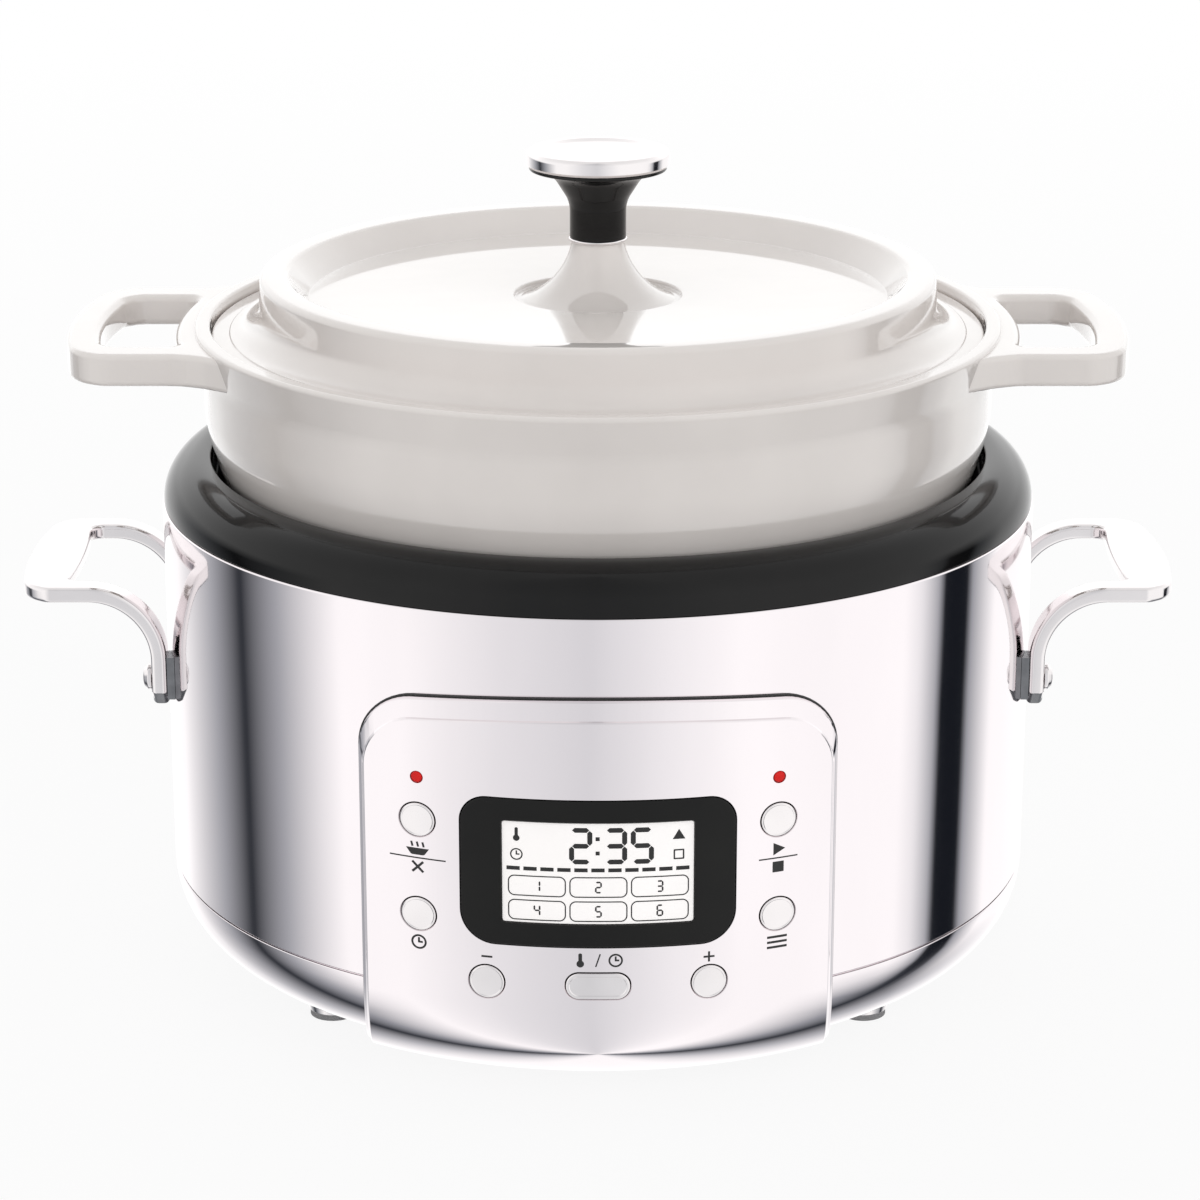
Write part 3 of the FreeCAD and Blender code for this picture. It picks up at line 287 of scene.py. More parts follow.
def sunkHole(corners, rim, deep, high=0, floor=False, edge=softSteps):
    # A hole whose mouth lies at height high and narrows by its rim.
    bm = drawOutline(corners)
    mouth = fillOutline(bm)
    for across, down in edge:
        insetFace(bm, mouth, rim * across, -rim * down)
    bottom = liftFaces(bm, [mouth], -deep)
    bmesh.ops.delete(bm, geom=[mouth] if floor else [mouth] + bottom, context="FACES_ONLY")
    moveShape(bm, z=high)
    return bm


def raiseRing(bm, width, thick):
    # Turns an outline into a flat ring of one width.
    face = fillOutline(bm)
    insetFace(bm, face, width)
    bmesh.ops.delete(bm, geom=[face], context="FACES")
    liftFaces(bm, bm.faces[:], thick)


def addShape(bm, shape, place=None):
    if place:
        shape.transform(place)
    held = bpy.data.meshes.new("held")
    shape.to_mesh(held)
    shape.free()
    bm.from_mesh(held)
    bpy.data.meshes.remove(held)


def fillBetween(bm, high):
    # Fills the flat between a plate's rim and the mouths of its holes.
    edges = [e for e in partsAt(bm.edges, high) if e.is_boundary]
    bmesh.ops.triangle_fill(bm, edges=edges, use_beauty=True, normal=(0, 0, 1))
    bmesh.ops.dissolve_limit(bm, angle_limit=flatTurn, verts=[], edges=partsAt(bm.edges, high))


def fillBack(bm):
    edges = [e for e in bm.edges if e.is_boundary]
    bmesh.ops.triangle_fill(bm, edges=edges, use_beauty=True, normal=(0, 0, -1))


def slicePlanes(bm, axis, low, high, step):
    for k in range(int((high - low) / step) + 1):
        middle = Vector((0, 0, 0))
        middle[axis] = low + k * step
        normal = Vector((0, 0, 0))
        normal[axis] = 1
        bmesh.ops.bisect_plane(bm, geom=bm.verts[:] + bm.edges[:] + bm.faces[:], dist=snap,
                               plane_co=middle, plane_no=normal)


def roundBox(half, low, high, corner, highCorner=None, grow=0):
    half, low, high, highCorner = half + grow, low - grow, high + grow, highCorner or corner
    return [(-half, low, corner), (half, low, corner), (half, high, highCorner), (-half, high, highCorner)]


def disc(x, y, radius, steps=48):
    turns = [math.tau * k / steps for k in range(steps)]
    return [(x + radius * math.cos(turn), y + radius * math.sin(turn)) for turn in turns]


def towardsBack(x, y, z):
    # Places a shape that was drawn upwards so that it points to the back.
    return Matrix.Translation((x, y, z)) @ Matrix.Rotation(-math.pi / 2, 4, "X")


def nodeBox(node):
    return [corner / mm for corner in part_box(node)]


def makePiece(name, bm, material, stands=(), body="cooker", sharp=38, weigh=True):
    # Stands names the CAD nodes that it replaces, and edges over the sharp angle stay crisp.
    bmesh.ops.scale(bm, vec=(mm, mm, mm), verts=bm.verts[:])
    bmesh.ops.recalc_face_normals(bm, faces=bm.faces[:])
    mesh = bpy.data.meshes.new(name)
    bm.to_mesh(mesh)
    bm.free()
    mesh.shade_smooth()
    mesh.set_sharp_from_angle(angle=math.radians(sharp))
    mesh.materials.append(finish[material])
    piece = bpy.data.objects.new(name, mesh)
    scene.collection.objects.link(piece)
    if weigh:
        even = piece.modifiers.new("evenNormals", "WEIGHTED_NORMAL")  # keeps flats flat beside rounds
        even.keep_sharp = True
    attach(piece, body)
    if stands:
        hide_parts(*stands)
    return piece


# Body shell

def cutWindow(bm, side, half, low, high):
    # Cuts a square opening through the wall, at the front (-1) or the back (1).
    for point, normal in (((-half, 0, 0), (1, 0, 0)), ((half, 0, 0), (1, 0, 0)),
                          ((0, 0, low), (0, 0, 1)), ((0, 0, high), (0, 0, 1))):
        faces = [f for f in bm.faces if f.calc_center_median().y * side > 0]
        edges = list(dict.fromkeys(e for f in faces for e in f.edges))
        verts = list(dict.fromkeys(v for f in faces for v in f.verts))
        bmesh.ops.bisect_plane(bm, geom=verts + edges + faces, dist=snap, plane_co=point, plane_no=normal)
    inside = []
    for face in bm.faces:
        x, y, z = face.calc_center_median()
        if y * side > 0 and abs(x) < half and low < z < high:
            inside.append(face)
    bmesh.ops.delete(bm, geom=inside, context="FACES")


wrapSet = {"radius": 150, "wall": 0.9, "low": 42.2, "high": 170, "rounds": (0, 0.35, 0.7), "steps": 360,
           "windows": ({"side": -1, "half": 71, "low": 30, "high": 126},  # behind the panel
                       {"side": 1, "half": 14.6, "low": 50.4, "high": 73.6})}  # round the inlet


def makeWrap(radius, wall, low, high, rounds, steps, windows):
    inside = radius - wall
    wrap = turned([(inside, low), (radius, low), (radius, high), (inside, high)], rounds, steps=steps)
    for window in windows:
        cutWindow(wrap, **window)
    makePiece("body_wrap_steel", wrap, "polishedSteel", ["body_wrap"], weigh=False)


panSet = {"radius": 150, "top": 41.7, "floor": 13, "wall": 1.1, "opening": 86, "lip": 3, "lipThick": 0.3,
          "rounds": (0.3, 28.3, 0, 0, 26.7), "steps": 360}


def makePan(radius, top, floor, wall, opening, lip, lipThick, rounds, steps):
    # The lip stands up inside the body wrap.
    lipOut, lipIn = radius - wall, radius - wall - lipThick
    pan = turned([(radius, top), (radius, floor), (opening, floor), (opening, floor + wall),
                  (lipIn, floor + wall), (lipIn, top + lip), (lipOut, top + lip), (lipOut, top)],
                 rounds, steps=steps)
    makePiece("base_pan_steel", pan, "polishedSteel", ["base_pan"], weigh=False)


footSet = {"ring": 111, "angle": 35, "radius": 9, "low": 2, "high": 13.2, "taper": 0.7, "taperTall": 3,
           "rounds": (0, 0.5, 2), "steps": 64}


def makeFeet(ring, angle, radius, low, high, taper, taperTall, rounds, steps):
    feet = bmesh.new()
    x, y = ring * math.cos(math.radians(angle)), ring * math.sin(math.radians(angle))
    for side, front in quarters:
        foot = turned([(0, low), (radius - taper, low), (radius, low + taperTall), (radius, high),
                       (0, high)], rounds, closed=False, steps=steps)
        addShape(feet, foot, Matrix.Translation((side * x, front * y, 0)))
    makePiece("feet_steel", feet, "satinSteel", ["feet"])


collarSet = {"outer": 149.5, "low": 170.05, "top": 184.9, "lip": 133, "lipThick": 3, "skirt": 162.2,
             "roof": 5, "slope": 145, "tongueIn": 145.6, "tongueOut": 148.4, "rounds": (0.35, 14.2, 1),
             "steps": 360}


def makeCollar(outer, low, top, lip, lipThick, skirt, roof, slope, tongueIn, tongueOut, rounds, steps):
    # The lip hangs into the pot's well, and the tongue into the body wrap.
    collar = turned([(outer, low), (outer, top), (lip, top), (lip, skirt), (lip + lipThick, skirt),
                     (lip + lipThick, top - roof), (slope, low), (tongueIn, skirt), (tongueOut, skirt),
                     (tongueOut, low)], rounds, steps=steps)
    makePiece("top_collar_black", collar, "glossPhenolic", ["top_collar"],
              weigh=False)


makeWrap(**wrapSet)
makePan(**panSet)
makeFeet(**footSet)
makeCollar(**collarSet)
print("body shell made")


# Pot with its two ears

potSet = {"floor": 118, "inFloor": 124, "foot": 111.5, "inFoot": 107.6, "wall": 134.5, "inWall": 129.5,
          "shoulder": 197, "rim": 137.7, "top": 230.7, "flare": 14, "rebate": 132, "ledge": 224.7,
          "rounds": (0, 26, 40, 20, 1.4, 1, 0.5, 0.8, 6, 21), "steps": 300, "earLow": 218}
earSet = {"reach": 180, "half": 50, "corner": 12, "flareOut": 142, "flareRound": 16, "thick": 11, "rim": 2,
          # The root lies inside the pot's wall.
          "root": ((129.5, 62), (131, 50), (132.7, 25), (133.2, 0), (132.7, -25), (131, -50), (129.5, -62)),
          "holeIn": 143.5, "holeOut": 168.5, "holeHalf": 37, "holeCorner": 6, "holeRim": 2.6,
          "follow": 330, "sliceReach": 60, "sliceStep": 3}


def makeEar(reach, half, corner, flareOut, flareRound, thick, rim, root, holeIn, holeOut, holeHalf,
            holeCorner, holeRim, follow, sliceReach, sliceStep):
    # The upper half on its mid plane, mirrored below, then bent to follow the round pot.
    top = thick / 2
    ear = raisedPlate([(flareOut, -half, flareRound), (reach, -half, corner), (reach, half, corner),
                       (flareOut, half, flareRound), *root], top, rim)
    openAt(ear, 0, top)
    near, far, wide, rounding = holeIn - holeRim, holeOut + holeRim, holeHalf + holeRim, holeCorner + holeRim
    hole = [(near, -wide, rounding), (far, -wide, rounding), (far, wide, rounding), (near, wide, rounding)]
    addShape(ear, sunkHole(hole, holeRim, top - holeRim, top, edge=quarterSteps))
    fillBetween(ear, top)
    bmesh.ops.mirror(ear, geom=ear.verts[:] + ear.edges[:] + ear.faces[:], axis="Z", merge_dist=weld)
    bmesh.ops.remove_doubles(ear, verts=ear.verts[:], dist=weld)
    slicePlanes(ear, 1, -sliceReach, sliceReach, sliceStep)
    for v in ear.verts:
        v.co.x -= v.co.y ** 2 / follow
    bmesh.ops.recalc_face_normals(ear, faces=ear.faces[:])
    return ear


def makePot(floor, inFloor, foot, inFoot, wall, inWall, shoulder, rim, top, flare, rebate, ledge, rounds,
            steps, earLow):
    pot = turned([(0, floor), (foot, floor), (wall, shoulder), (wall, top - flare), (rim, top),
                  (rebate, top), (rebate, ledge), (inWall, ledge), (inWall, shoulder), (inFoot, inFloor),
                  (0, inFloor)], rounds, closed=False, steps=steps)
    for turn in (0, math.pi):
        place = Matrix.Translation((0, 0, earLow + earSet["thick"] / 2)) @ Matrix.Rotation(turn, 4, "Z")
        addShape(pot, makeEar(**earSet), place)
    makePiece("pot_enamel", pot, "creamEnamel", ["pot"], "pot")


makePot(**potSet)
print("pot made")


# Lid and knob

lidSet = {"bore": 2.65, "under": 235.3, "underOut": 96.5, "hollowIn": 106.5, "hollowOut": 112.6,
          "hollowZ": 243.9, "bottom": 225, "flange": 131.5, "flangeZ": 227.8, "step": 125.2, "stepRun": 0.4,
          "stepDrop": 0.5, "wall": 115.6, "draft": 0.8, "top": 246.9, "rimIn": 105.5, "discOut": 98.5,
          "discZ": 238.3, "recess": 28.5, "recessZ": 236.9, "cone": 26.3, "waist": 11.1, "waistZ": 241.17,
          "coneTop": 9, "coneTopZ": 256.8, "steps": 300,
          "rounds": (0, 2, 1.5, 2, 1, 0.8, 0.9, 0.3, 0.3, 9, 2.4, 2.4, 0.8, 0.7, 0.4, 0.3, 23, 0.3)}


def makeLid(bore, under, underOut, hollowIn, hollowOut, hollowZ, bottom, flange, flangeZ, step, stepRun,
            stepDrop, wall, draft, top, rimIn, discOut, discZ, recess, recessZ, cone, waist, waistZ,
            coneTop, coneTopZ, steps, rounds):
    lid = turned([(bore, under), (underOut, under), (hollowIn, hollowZ), (hollowOut, hollowZ),
                  (hollowOut, bottom), (flange, bottom), (flange, flangeZ - stepDrop),
                  (step + stepRun, flangeZ - stepDrop), (step, flangeZ), (wall, flangeZ),
                  (wall - draft, top), (rimIn, top), (discOut, discZ), (recess, discZ), (recess, recessZ),
                  (cone, recessZ), (waist, waistZ), (coneTop, coneTopZ), (bore, coneTopZ)],
                 rounds, steps=steps)
    makePiece("lid_enamel", lid, "creamEnamel", ["lid"], "lid", weigh=False)


knobSet = {"bore": 2.65, "ferrule": 10, "low": 256.8, "neckLow": 258, "neck": 9.6, "flareLow": 270.2,
           "under": 16, "underLow": 280.2, "rim": 23.4, "rimLow": 281.4, "capLow": 282.5, "cap": 24.3,
           "capTop": 288.1, "dishOut": 20.6, "dishIn": 17.5, "dish": 1.1, "ferruleRounds": (0, 0.3, 0.5),
           "neckRounds": (0, 0.3, 9, 8, 0.5, 0.4), "capRounds": (0, 1.1, 2, 3, 8)}


def makeKnob(bore, ferrule, low, neckLow, neck, flareLow, under, underLow, rim, rimLow, capLow, cap, capTop,
             dishOut, dishIn, dish, ferruleRounds, neckRounds, capRounds):
    collet = turned([(bore, low), (ferrule, low), (ferrule, neckLow), (bore, neckLow)], ferruleRounds,
                    steps=96)
    makePiece("knob_ferrule_steel", collet, "satinSteel", ["knob_ferrule"], "lid",
              weigh=False)
    stalk = turned([(bore, neckLow), (neck, neckLow), (neck, flareLow), (under, underLow), (rim, rimLow),
                    (rim, capLow), (bore, capLow)], neckRounds, steps=144)
    makePiece("knob_neck_black", stalk, "polishedPhenolic", ["knob_neck"], "lid",
              weigh=False)
    button = turned([(0, capLow), (cap, capLow), (cap, capTop), (dishOut, capTop), (dishIn, capTop - dish),
                     (0, capTop - dish)], capRounds, closed=False, steps=180)
    makePiece("knob_cap_steel", button, "satinSteel", ["knob_cap"], "lid", weigh=False)


makeLid(**lidSet)
makeKnob(**knobSet)
print("lid and knob made")


# Pot well, seen when the pot is lifted

wellSet = {"top": 162, "topRadius": 132.2, "foot": 112, "footRadius": 110, "wall": 1, "flange": 4.5,
           "ledge": 11, "rounds": (0, 2.5, 0.8, 0, 0, 1.8, 1.5)}


def makeWell(top, topRadius, foot, footRadius, wall, flange, ledge, rounds):
    well = turned([(footRadius - ledge, foot - wall), (footRadius + wall, foot - wall),
                   (topRadius + wall, top - wall), (topRadius + flange, top - wall),
                   (topRadius + flange, top), (topRadius, top), (footRadius, foot),
                   (footRadius - ledge, foot)], rounds)
    makePiece("inner_liner_sheet", well, "sheetAluminium", ["inner_liner"], weigh=False)


plateSet = {"radius": 98, "hole": 9, "low": 107.7, "top": 117.7, "rounds": (0, 1, 1.2), "holeRound": 0.6,
            "grooves": (24, 40, 56, 72, 86), "grooveDeep": 0.5, "grooveHalf": 1.1,
            "grooveRounds": (0.15, 0.3, 0.15), "steps": 200}


def makePlate(radius, hole, low, top, rounds, holeRound, grooves, grooveDeep, grooveHalf, grooveRounds,
              steps):
    points = [(hole, low), (radius, low), (radius, top)]
    for ring in reversed(grooves):
        points += [(ring + grooveHalf, top), (ring, top - grooveDeep), (ring - grooveHalf, top)]
    points.append((hole, top))
    plate = turned(points, [*rounds, *grooveRounds * len(grooves), holeRound], steps=steps)
    makePiece("heating_plate_cast", plate, "castAluminium", ["heating_plate"], weigh=False)


plungerSet = {"stem": 3, "head": 3, "rounds": (0, 0.5, 0, 0.4, 0.8), "steps": 72}


def makePlunger(stem, head, rounds, steps):
    low, high = nodeBox("sensor_plunger")
    plunger = turned([(0, low.z), (stem, low.z), (stem, high.z - head), (high.x, high.z - head),
                      (high.x, high.z), (0, high.z)], rounds, closed=False, steps=steps)
    makePiece("sensor_plunger_steel", plunger, "satinSteel", ["sensor_plunger"], "sensor",
              weigh=False)


makeWell(**wellSet)
makePlate(**plateSet)
makePlunger(**plungerSet)
print("pot well made")


# Control panel: drawn flat as (across, up from the seam, out from the face), then bent on to the body

bendSet = {"face": 155, "seam": 42, "curve": 34, "step": 1.5}


def bendToPanel(bm, reach=0, step=bendSet["step"], foot=0):
    # A wide piece is first sliced as far as its reach, and one with a foot down its curve.
    if reach:
        slicePlanes(bm, 0, -reach, reach, step)
    if foot:
        slicePlanes(bm, 1, foot, 0, bendSet["step"])
    for v in bm.verts:
        x, up, out = v.co
        if up >= 0:
            radius, z = bendSet["face"] + out, bendSet["seam"] + up
        else:
            turn, arm = -up / bendSet["curve"], bendSet["curve"] + out
            radius = bendSet["face"] - bendSet["curve"] + arm * math.cos(turn)
            z = bendSet["seam"] - arm * math.sin(turn)
        v.co = (x, -math.sqrt(radius ** 2 - x ** 2), z)


blankSet = {"half": 75.7, "foot": -53.4, "sideTop": 97.8, "corner": 17, "rise": 4.4, "cuts": 30,
            "sliceReach": 75, "sliceFoot": -52.5}
panelSet = {"back": -4.7, "wallTop": -1.9, "lip": 0.3, "bevel": 0.8, "bevelTop": -0.9, "topBevel": 5.6,
            "edge": 0.35, "edgeRise": 0.28, "holeRim": 0.35, "lampRim": 0.175}
darkLineSet = {"growSide": 0.25, "growTop": 0.35, "width": 5, "low": -4.9, "thick": 0.7, "step": 3}
buttonSpots = {"upper_left": (-57, 60), "upper_right": (57, 60), "lower_left": (-57, 28),
               "lower_right": (57, 28), "minus": (-35.3, 7.6), "plus": (35.3, 7.6)}
buttonSet = {"radius": 5.55, "gap": 0.25, "proud": 0.3, "deep": 7, "ringIn": 5, "dishOut": 4.8,
             "dishMiddle": 2.5, "dish": 0.1, "capRounds": (0, 0.45, 0.08, 0.1),
             "flange": 7.1, "flangeThick": 1.5, "stem": 2, "tail": 4, "tailRounds": (0, 0, 0.3, 0, 0.4)}
longSet = {"half": 10.2, "radius": 4.4, "up": 7.6, "roundShare": 0.96, "edge": 0.4, "ring": 0.6,
           "slope": 0.25, "dish": 0.22, "flange": (11.8, -6, 6, 5.7), "post": (4, -2, 2, 1.9), "postLow": 1,
           "tailEdge": 0.3, "sliceReach": 9}
lightSet = {"spots": ((-57, 74.3), (57, 74.3)), "radius": 1.8, "gap": 0.15, "deep": 4.5, "shoulder": 0.1,
            "crown": 0.45, "rounds": (0, 0.6)}
frameSet = {"half": 43.3, "low": 21, "high": 70.1, "corner": 11, "highCorner": 8.5, "gap": 0.15,
            "proud": 0.4, "deep": 4, "edge": 0.5, "windowCorner": 1.5, "sliceReach": 43.5}
lensSet = {"half": 30.3, "low": 28.5, "high": 62.7, "gap": 0.15, "corner": 0.9, "thick": 1.5, "edge": 0.15,
           "sunk": 0.6, "sliceReach": 30}


def longOutline(grow=0):
    radius = longSet["radius"] + grow
    return roundBox(longSet["half"] + grow, longSet["up"] - radius, longSet["up"] + radius,
                    radius * longSet["roundShare"])


def frameOutline(grow=0, rounder=0):
    return roundBox(frameSet["half"], frameSet["low"], frameSet["high"], frameSet["corner"] + rounder,
                    frameSet["highCorner"] + rounder, grow)


def lensOutline(grow, corner):
    return roundBox(lensSet["half"], lensSet["low"], lensSet["high"], corner, grow=grow)


def panelBlank(growSide=0, growTop=0):
    # The panel's outline, with the middle of its top edge lifted into a shallow arch.
    half, high = blankSet["half"] + growSide, blankSet["sideTop"] + growTop
    corner = blankSet["corner"] + (growSide + growTop) / 2
    bm = drawOutline([(-half, blankSet["foot"]), (half, blankSet["foot"]), (half, high, corner),
                      (-half, high, corner)])
    top = [e for e in bm.edges if all(v.co.y > high - level for v in e.verts)]
    bmesh.ops.subdivide_edges(bm, edges=[max(top, key=lambda e: e.calc_length())], cuts=blankSet["cuts"])
    start = blankSet["sideTop"] - blankSet["corner"]
    for v in bm.verts:
        share = min((v.co.y - start) / blankSet["corner"], 1)
        if share > 0:
            v.co.y += blankSet["rise"] * (1 - (v.co.x / blankSet["half"]) ** 2) * share
    return bm


def makePanel(back, wallTop, lip, bevel, bevelTop, topBevel, edge, edgeRise, holeRim, lampRim):
    panel = panelBlank()
    face = raiseFace(panel, fillOutline(panel), wallTop - back)
    insetFace(panel, face, lip, lip)
    insetFace(panel, face, bevel, bevelTop - wallTop - lip)
    # The bevel is wider along the top and runs out down the sides.
    bmesh.ops.translate(panel, vec=(0, bevel - topBevel, 0), verts=[v for v in face.verts if v.co.y > 0])
    insetFace(panel, face, lip, -bevelTop - edgeRise)
    insetFace(panel, face, edge, edgeRise)
    moveShape(panel, z=back)
    openAt(panel, 0, back)
    buttonGap = buttonSet["gap"] + holeRim
    lampHole = lightSet["radius"] + lightSet["gap"] + lampRim
    holes = [(disc(*spot, buttonSet["radius"] + buttonGap), holeRim) for spot in buttonSpots.values()]
    holes += [(disc(*spot, lampHole), lampRim) for spot in lightSet["spots"]]
    holes.append((longOutline(buttonGap), holeRim))
    holes.append((frameOutline(frameSet["gap"] + holeRim, holeRim), holeRim))
    for outline, rim in holes:
        addShape(panel, sunkHole(outline, rim, -back - rim))
    fillBetween(panel, 0)
    fillBack(panel)
    bendToPanel(panel, blankSet["sliceReach"], foot=blankSet["sliceFoot"])
    makePiece("control_panel_steel", panel, "polishedSteel", ["control_panel"], sharp=24)


# A thin black strip behind the panel, grown a little past its edge, which shows as a dark line round its top
# and sides.
def makeSeal(growSide, growTop, width, low, thick, step):
    darkLine = panelBlank(growSide, growTop)
    raiseRing(darkLine, width, thick)
    moveShape(darkLine, z=low)
    bendToPanel(darkLine, blankSet["sliceReach"], step, blankSet["sliceFoot"])
    makePiece("panel_dark_line", darkLine, "grainedNylon", sharp=30)


def makeDisplay():
    proud, deep, edge = frameSet["proud"], frameSet["deep"], frameSet["edge"]
    surround = raisedPlate(frameOutline(), deep + proud, edge, -deep)
    openAt(surround, proud, -deep)
    window = lensOutline(edge, frameSet["windowCorner"])
    addShape(surround, sunkHole(window, edge, deep + proud - edge, proud))
    fillBetween(surround, proud)
    fillBack(surround)
    bendToPanel(surround, frameSet["sliceReach"])
    makePiece("display_frame_black", surround, "paintedAcrylic", ["display_frame"])
    lens = raisedPlate(lensOutline(-lensSet["gap"], lensSet["corner"]), lensSet["thick"], lensSet["edge"],
                       -lensSet["sunk"] - lensSet["thick"])
    bendToPanel(lens, lensSet["sliceReach"])
    makePiece("display_face_white", lens, "litAcrylic", ["display_window"])


def addTail(cap, tail, node, x, up):
    # The straight part behind the bent cap, which ends where the CAD node does.
    back = nodeBox(node)[1].y
    addShape(cap, tail, towardsBack(x, back - buttonSet["tail"], bendSet["seam"] + up))


def makeButton(node, x, up, radius, gap, proud, deep, ringIn, dishOut, dishMiddle, dish, capRounds, flange,
               flangeThick, stem, tail, tailRounds):
    cap = turned([(radius, -deep), (radius, proud), (ringIn, proud), (dishOut, dish), (dishMiddle, dish),
                  (0, dish)], capRounds, closed=False, steps=96)
    moveShape(cap, x, up)
    bendToPanel(cap)
    post = turned([(0, 0), (flange, 0), (flange, flangeThick), (stem, flangeThick), (stem, tail), (0, tail)],
                  tailRounds, closed=False, steps=48)
    addTail(cap, post, node, x, up)
    makePiece(node + "_steel", cap, "satinSteel", [node], node + "_cap")


def makeLongButton(node):
    proud, deep = buttonSet["proud"], buttonSet["deep"]
    cap = raisedPlate(longOutline(), deep + proud, longSet["edge"], -deep)
    top = partsAt(cap.faces, proud)[0]
    insetFace(cap, top, longSet["ring"])
    insetFace(cap, top, longSet["slope"], -longSet["dish"])
    bendToPanel(cap, longSet["sliceReach"])
    tail = raisedPlate(roundBox(*longSet["flange"]), buttonSet["flangeThick"], longSet["tailEdge"])
    addShape(tail, raisedPlate(roundBox(*longSet["post"]), buttonSet["tail"] - longSet["postLow"],
                               longSet["tailEdge"], longSet["postLow"]))
    addTail(cap, tail, node, 0, longSet["up"])
    makePiece(node + "_steel", cap, "satinSteel", [node], node + "_cap")


def makeLight(node, x, up):
    radius = lightSet["radius"]
    lamp = turned([(radius, -lightSet["deep"]), (radius, lightSet["shoulder"]), (0, lightSet["crown"])],
                  lightSet["rounds"], closed=False, steps=40)
    moveShape(lamp, x, up)
    bendToPanel(lamp)
    makePiece(node + "_lens", lamp, "redAcrylic", [node])


makePanel(**panelSet)
makeSeal(**darkLineSet)
makeDisplay()
for name, spot in buttonSpots.items():
    makeButton("button_" + name, *spot, **buttonSet)
makeLongButton("button_long")
for name, spot in zip(("left", "right"), lightSet["spots"]):
    makeLight("indicator_" + name, *spot)
print("control panel made")


# Printed marks: plain signs beside the buttons, and plain figures on the display

inkThick, inkGap = 0.03, 0.005  # the gap keeps the ink clear of what it is printed on


def inkShape(bm, x, up, corners, turn=0):
    shape = drawOutline(corners)
    raiseFace(shape, fillOutline(shape), inkThick)
    addShape(bm, shape, Matrix.Translation((x, up, 0)) @ Matrix.Rotation(math.radians(turn), 4, "Z"))


def inkBar(bm, x, up, wide, tall, turn=0):
    half, rise = wide / 2, tall / 2
    inkShape(bm, x, up, [(-half, -rise), (half, -rise), (half, rise), (-half, rise)], turn)


def inkCross(bm, x, up, reach, line, turn=0):
    arm = line / 2
    inkShape(bm, x, up, [(-arm, -reach), (arm, -reach), (arm, -arm), (reach, -arm), (reach, arm), (arm, arm),
                         (arm, reach), (-arm, reach), (-arm, arm), (-reach, arm), (-reach, -arm),
                         (-arm, -arm)], turn)


def inkClock(bm, x, up, radius, line):
    arm, tall, long = line / 2, radius * 0.6, radius * 0.5
    ring = turned([(radius - line, 0), (radius, 0), (radius, inkThick), (radius - line, inkThick)], steps=40)
    addShape(bm, ring, Matrix.Translation((x, up, 0)))
    inkShape(bm, x, up, [(-arm, -arm), (long, -arm), (long, arm), (arm, arm), (arm, tall), (-arm, tall)])


def inkThermometer(bm, x, up, bulb, tall):
    inkShape(bm, x, up, disc(0, bulb - tall / 2, bulb))
    inkShape(bm, x, up, roundBox(bulb * 0.5, bulb * 1.8 - tall / 2, tall / 2, 0.05, bulb * 0.45))


def inkBowl(bm, x, up, line):
    # A bowl with three lines of steam.
    inkShape(bm, x, up + 2.2, [(-3.7, 1.1), (-2.1, -1.2, 0.9), (2.1, -1.2, 0.9), (3.7, 1.1)])
    for k in (-1, 0, 1):
        inkBar(bm, x + k * 1.8, up + 4.6, line, 1.7, 14)


def inkFrame(bm, x, up, wide, tall, line, corner):
    shape = drawOutline(roundBox(wide / 2, -tall / 2, tall / 2, corner))
    raiseRing(shape, line, inkThick)
    addShape(bm, shape, Matrix.Translation((x, up, 0)))


barPlaces = {"a": (0, 1), "b": (0.5, 0.5), "c": (0.5, -0.5), "d": (0, -1), "e": (-0.5, -0.5),
             "f": (-0.5, 0.5), "g": (0, 0)}
figureBars = {"1": "bc", "2": "abged", "3": "abgcd", "4": "fgbc", "5": "afgcd", "6": "afgedc"}


def inkFigure(bm, figure, x, up, wide, tall, line):
    # Each bar of a figure has mitred ends, with a hair's gap to the next.
    for bar in figureBars[figure]:
        across, rise = barPlaces[bar]
        flat = bar in "adg"
        half, point = (wide - line if flat else (tall - line) / 2) / 2 - line * 0.1, line / 2
        inkShape(bm, x + across * (wide - line), up + rise * (tall - line) / 2,
                 [(-half, 0), (point - half, -point), (half - point, -point), (half, 0),
                  (half - point, point), (point - half, point)], 0 if flat else 90)


signSet = {"line": 0.66, "thin": 0.462, "thick": 0.792, "side": 57, "upper": 47.1, "leftRule": 18,
           "rightRule": 12.4, "below": 3, "cross": 2.5, "start": ((-1.6, -2.1), (2.2, 0), (-1.6, 2.1)),
           "startUp": 3.1, "stop": (1.8, -1.8, 1.8, 0.2), "lower": 18.4, "clock": 2.5, "listWide": 6.4,
           "listStep": 1.75, "pairX": 35.2, "pairUp": 16.2, "pairHalf": 1.75, "middleX": 5.6, "middle": 16.5,
           "bulb": 1.2, "tall": 4.8, "slash": (4.6, -18), "smallClock": 2.3, "smallLine": 0.594,
           "sliceReach": 72}


